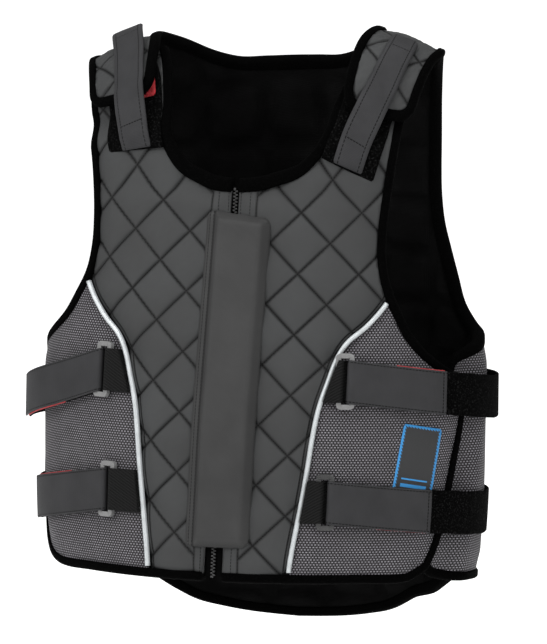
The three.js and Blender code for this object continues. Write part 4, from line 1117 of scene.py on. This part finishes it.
# Patch
patch = {"across": 186, "foot": 140.5, "width": 38, "height": 66, "wall": 0.8, "seat": 0.5,
         "turn": math.radians(9.5)}
outline = roundedBox((patch["across"] - patch["width"] / 2, patch["foot"]),
                     (patch["across"] + patch["width"] / 2, patch["foot"] + patch["height"]), 1.5, 3)
points, triangles = fillOutline(outline, 3.0)
middle = np.array([patch["across"], patch["foot"] + patch["height"] / 2])
cosTurn, sinTurn = math.cos(patch["turn"]), math.sin(patch["turn"])
turned = (points - middle) @ np.array([[cosTurn, -sinTurn], [sinTurn, cosTurn]]) + middle
patchPiece = thickPiece("bare_patch", flatFront, (turned, triangles),
                        lambda p: patch["seat"] + patch["wall"] + 0.15 * pucker(p), patch["seat"], patchCloth(patch),
                        points)
dress(patchPiece, ["patch"])
layOutline(outline)
print("patch made")


# Studio
studio = {"floor": -0.78, "reach": 60, "glow": 0.6, "world": 0.6, "azimuth": 18.2, "elevation": 5.5, "roll": 0.47,
          "distance": 7.24, "shiftRight": 0.0082, "shiftUp": 0.2889, "viewHeight": 0.6082, "sensor": 36,
          "lit": (0, 0, -0.25), "lamps": [((-1.6, -2.2, 1.5), 1.4, 70), ((1.9, -1.6, 0.9), 1.2, 26),
                                          ((0.2, -0.6, 2.2), 1.6, 45)]}


def addStudio():
    s = Shader("paleFloor")
    base = s.colour(s.noise(3.0), grey(243), grey(246))
    material = s.finish(Base_Color=base, Roughness=0.9, Emission_Color=(1, 1, 1, 1), Emission_Strength=studio["glow"])
    floor, reach = studio["floor"], studio["reach"]
    corners = [(x, y, floor) for x, y in ((-reach, -reach), (reach, -reach), (reach, reach), (-reach, reach))]
    addMesh("studio_floor", corners, [(0, 1, 2, 3)], np.zeros((4, 2)), material)
    world = bpy.data.worlds.new("studio")
    bpy.context.scene.world = world
    world.use_nodes = True
    background = world.node_tree.nodes["Background"].inputs
    background[0].default_value, background[1].default_value = (1, 1, 1, 1), studio["world"]
    for place, size, power in studio["lamps"]:
        lamp = bpy.data.lights.new("softbox", "AREA")
        lamp.size, lamp.energy = size, power
        holder = bpy.data.objects.new("softbox", lamp)
        holder.location = place
        holder.rotation_euler = (Vector(studio["lit"]) - Vector(place)).to_track_quat("-Z", "Y").to_euler()
        bpy.context.scene.collection.objects.link(holder)


def addCamera():
    azimuth, elevation = math.radians(studio["azimuth"]), math.radians(studio["elevation"])
    toCamera = Vector((math.sin(azimuth) * math.cos(elevation), -math.cos(azimuth) * math.cos(elevation),
                       math.sin(elevation)))
    right = Vector((math.cos(azimuth), math.sin(azimuth), 0))
    up = toCamera.cross(right)
    target = Vector((0, 0, -body["seatHeight"] / 1000)) + right * studio["shiftRight"] + up * studio["shiftUp"]
    roll = math.radians(studio["roll"])
    xAxis = right * math.cos(roll) + up * math.sin(roll)
    yAxis = toCamera.cross(xAxis)
    camera = bpy.data.objects.new("camera", bpy.data.cameras.new("camera"))
    camera.data.lens = studio["sensor"] * studio["distance"] / studio["viewHeight"]
    camera.data.sensor_width = studio["sensor"]
    camera.matrix_world = Matrix.Translation(target + toCamera * studio["distance"]) @ Matrix(
        (xAxis, yAxis, toCamera)).transposed().to_4x4()
    bpy.context.scene.collection.objects.link(camera)
    bpy.context.scene.camera = camera


addStudio()
addCamera()
bpy.context.scene.view_settings.view_transform = "Standard"
print("studio made")
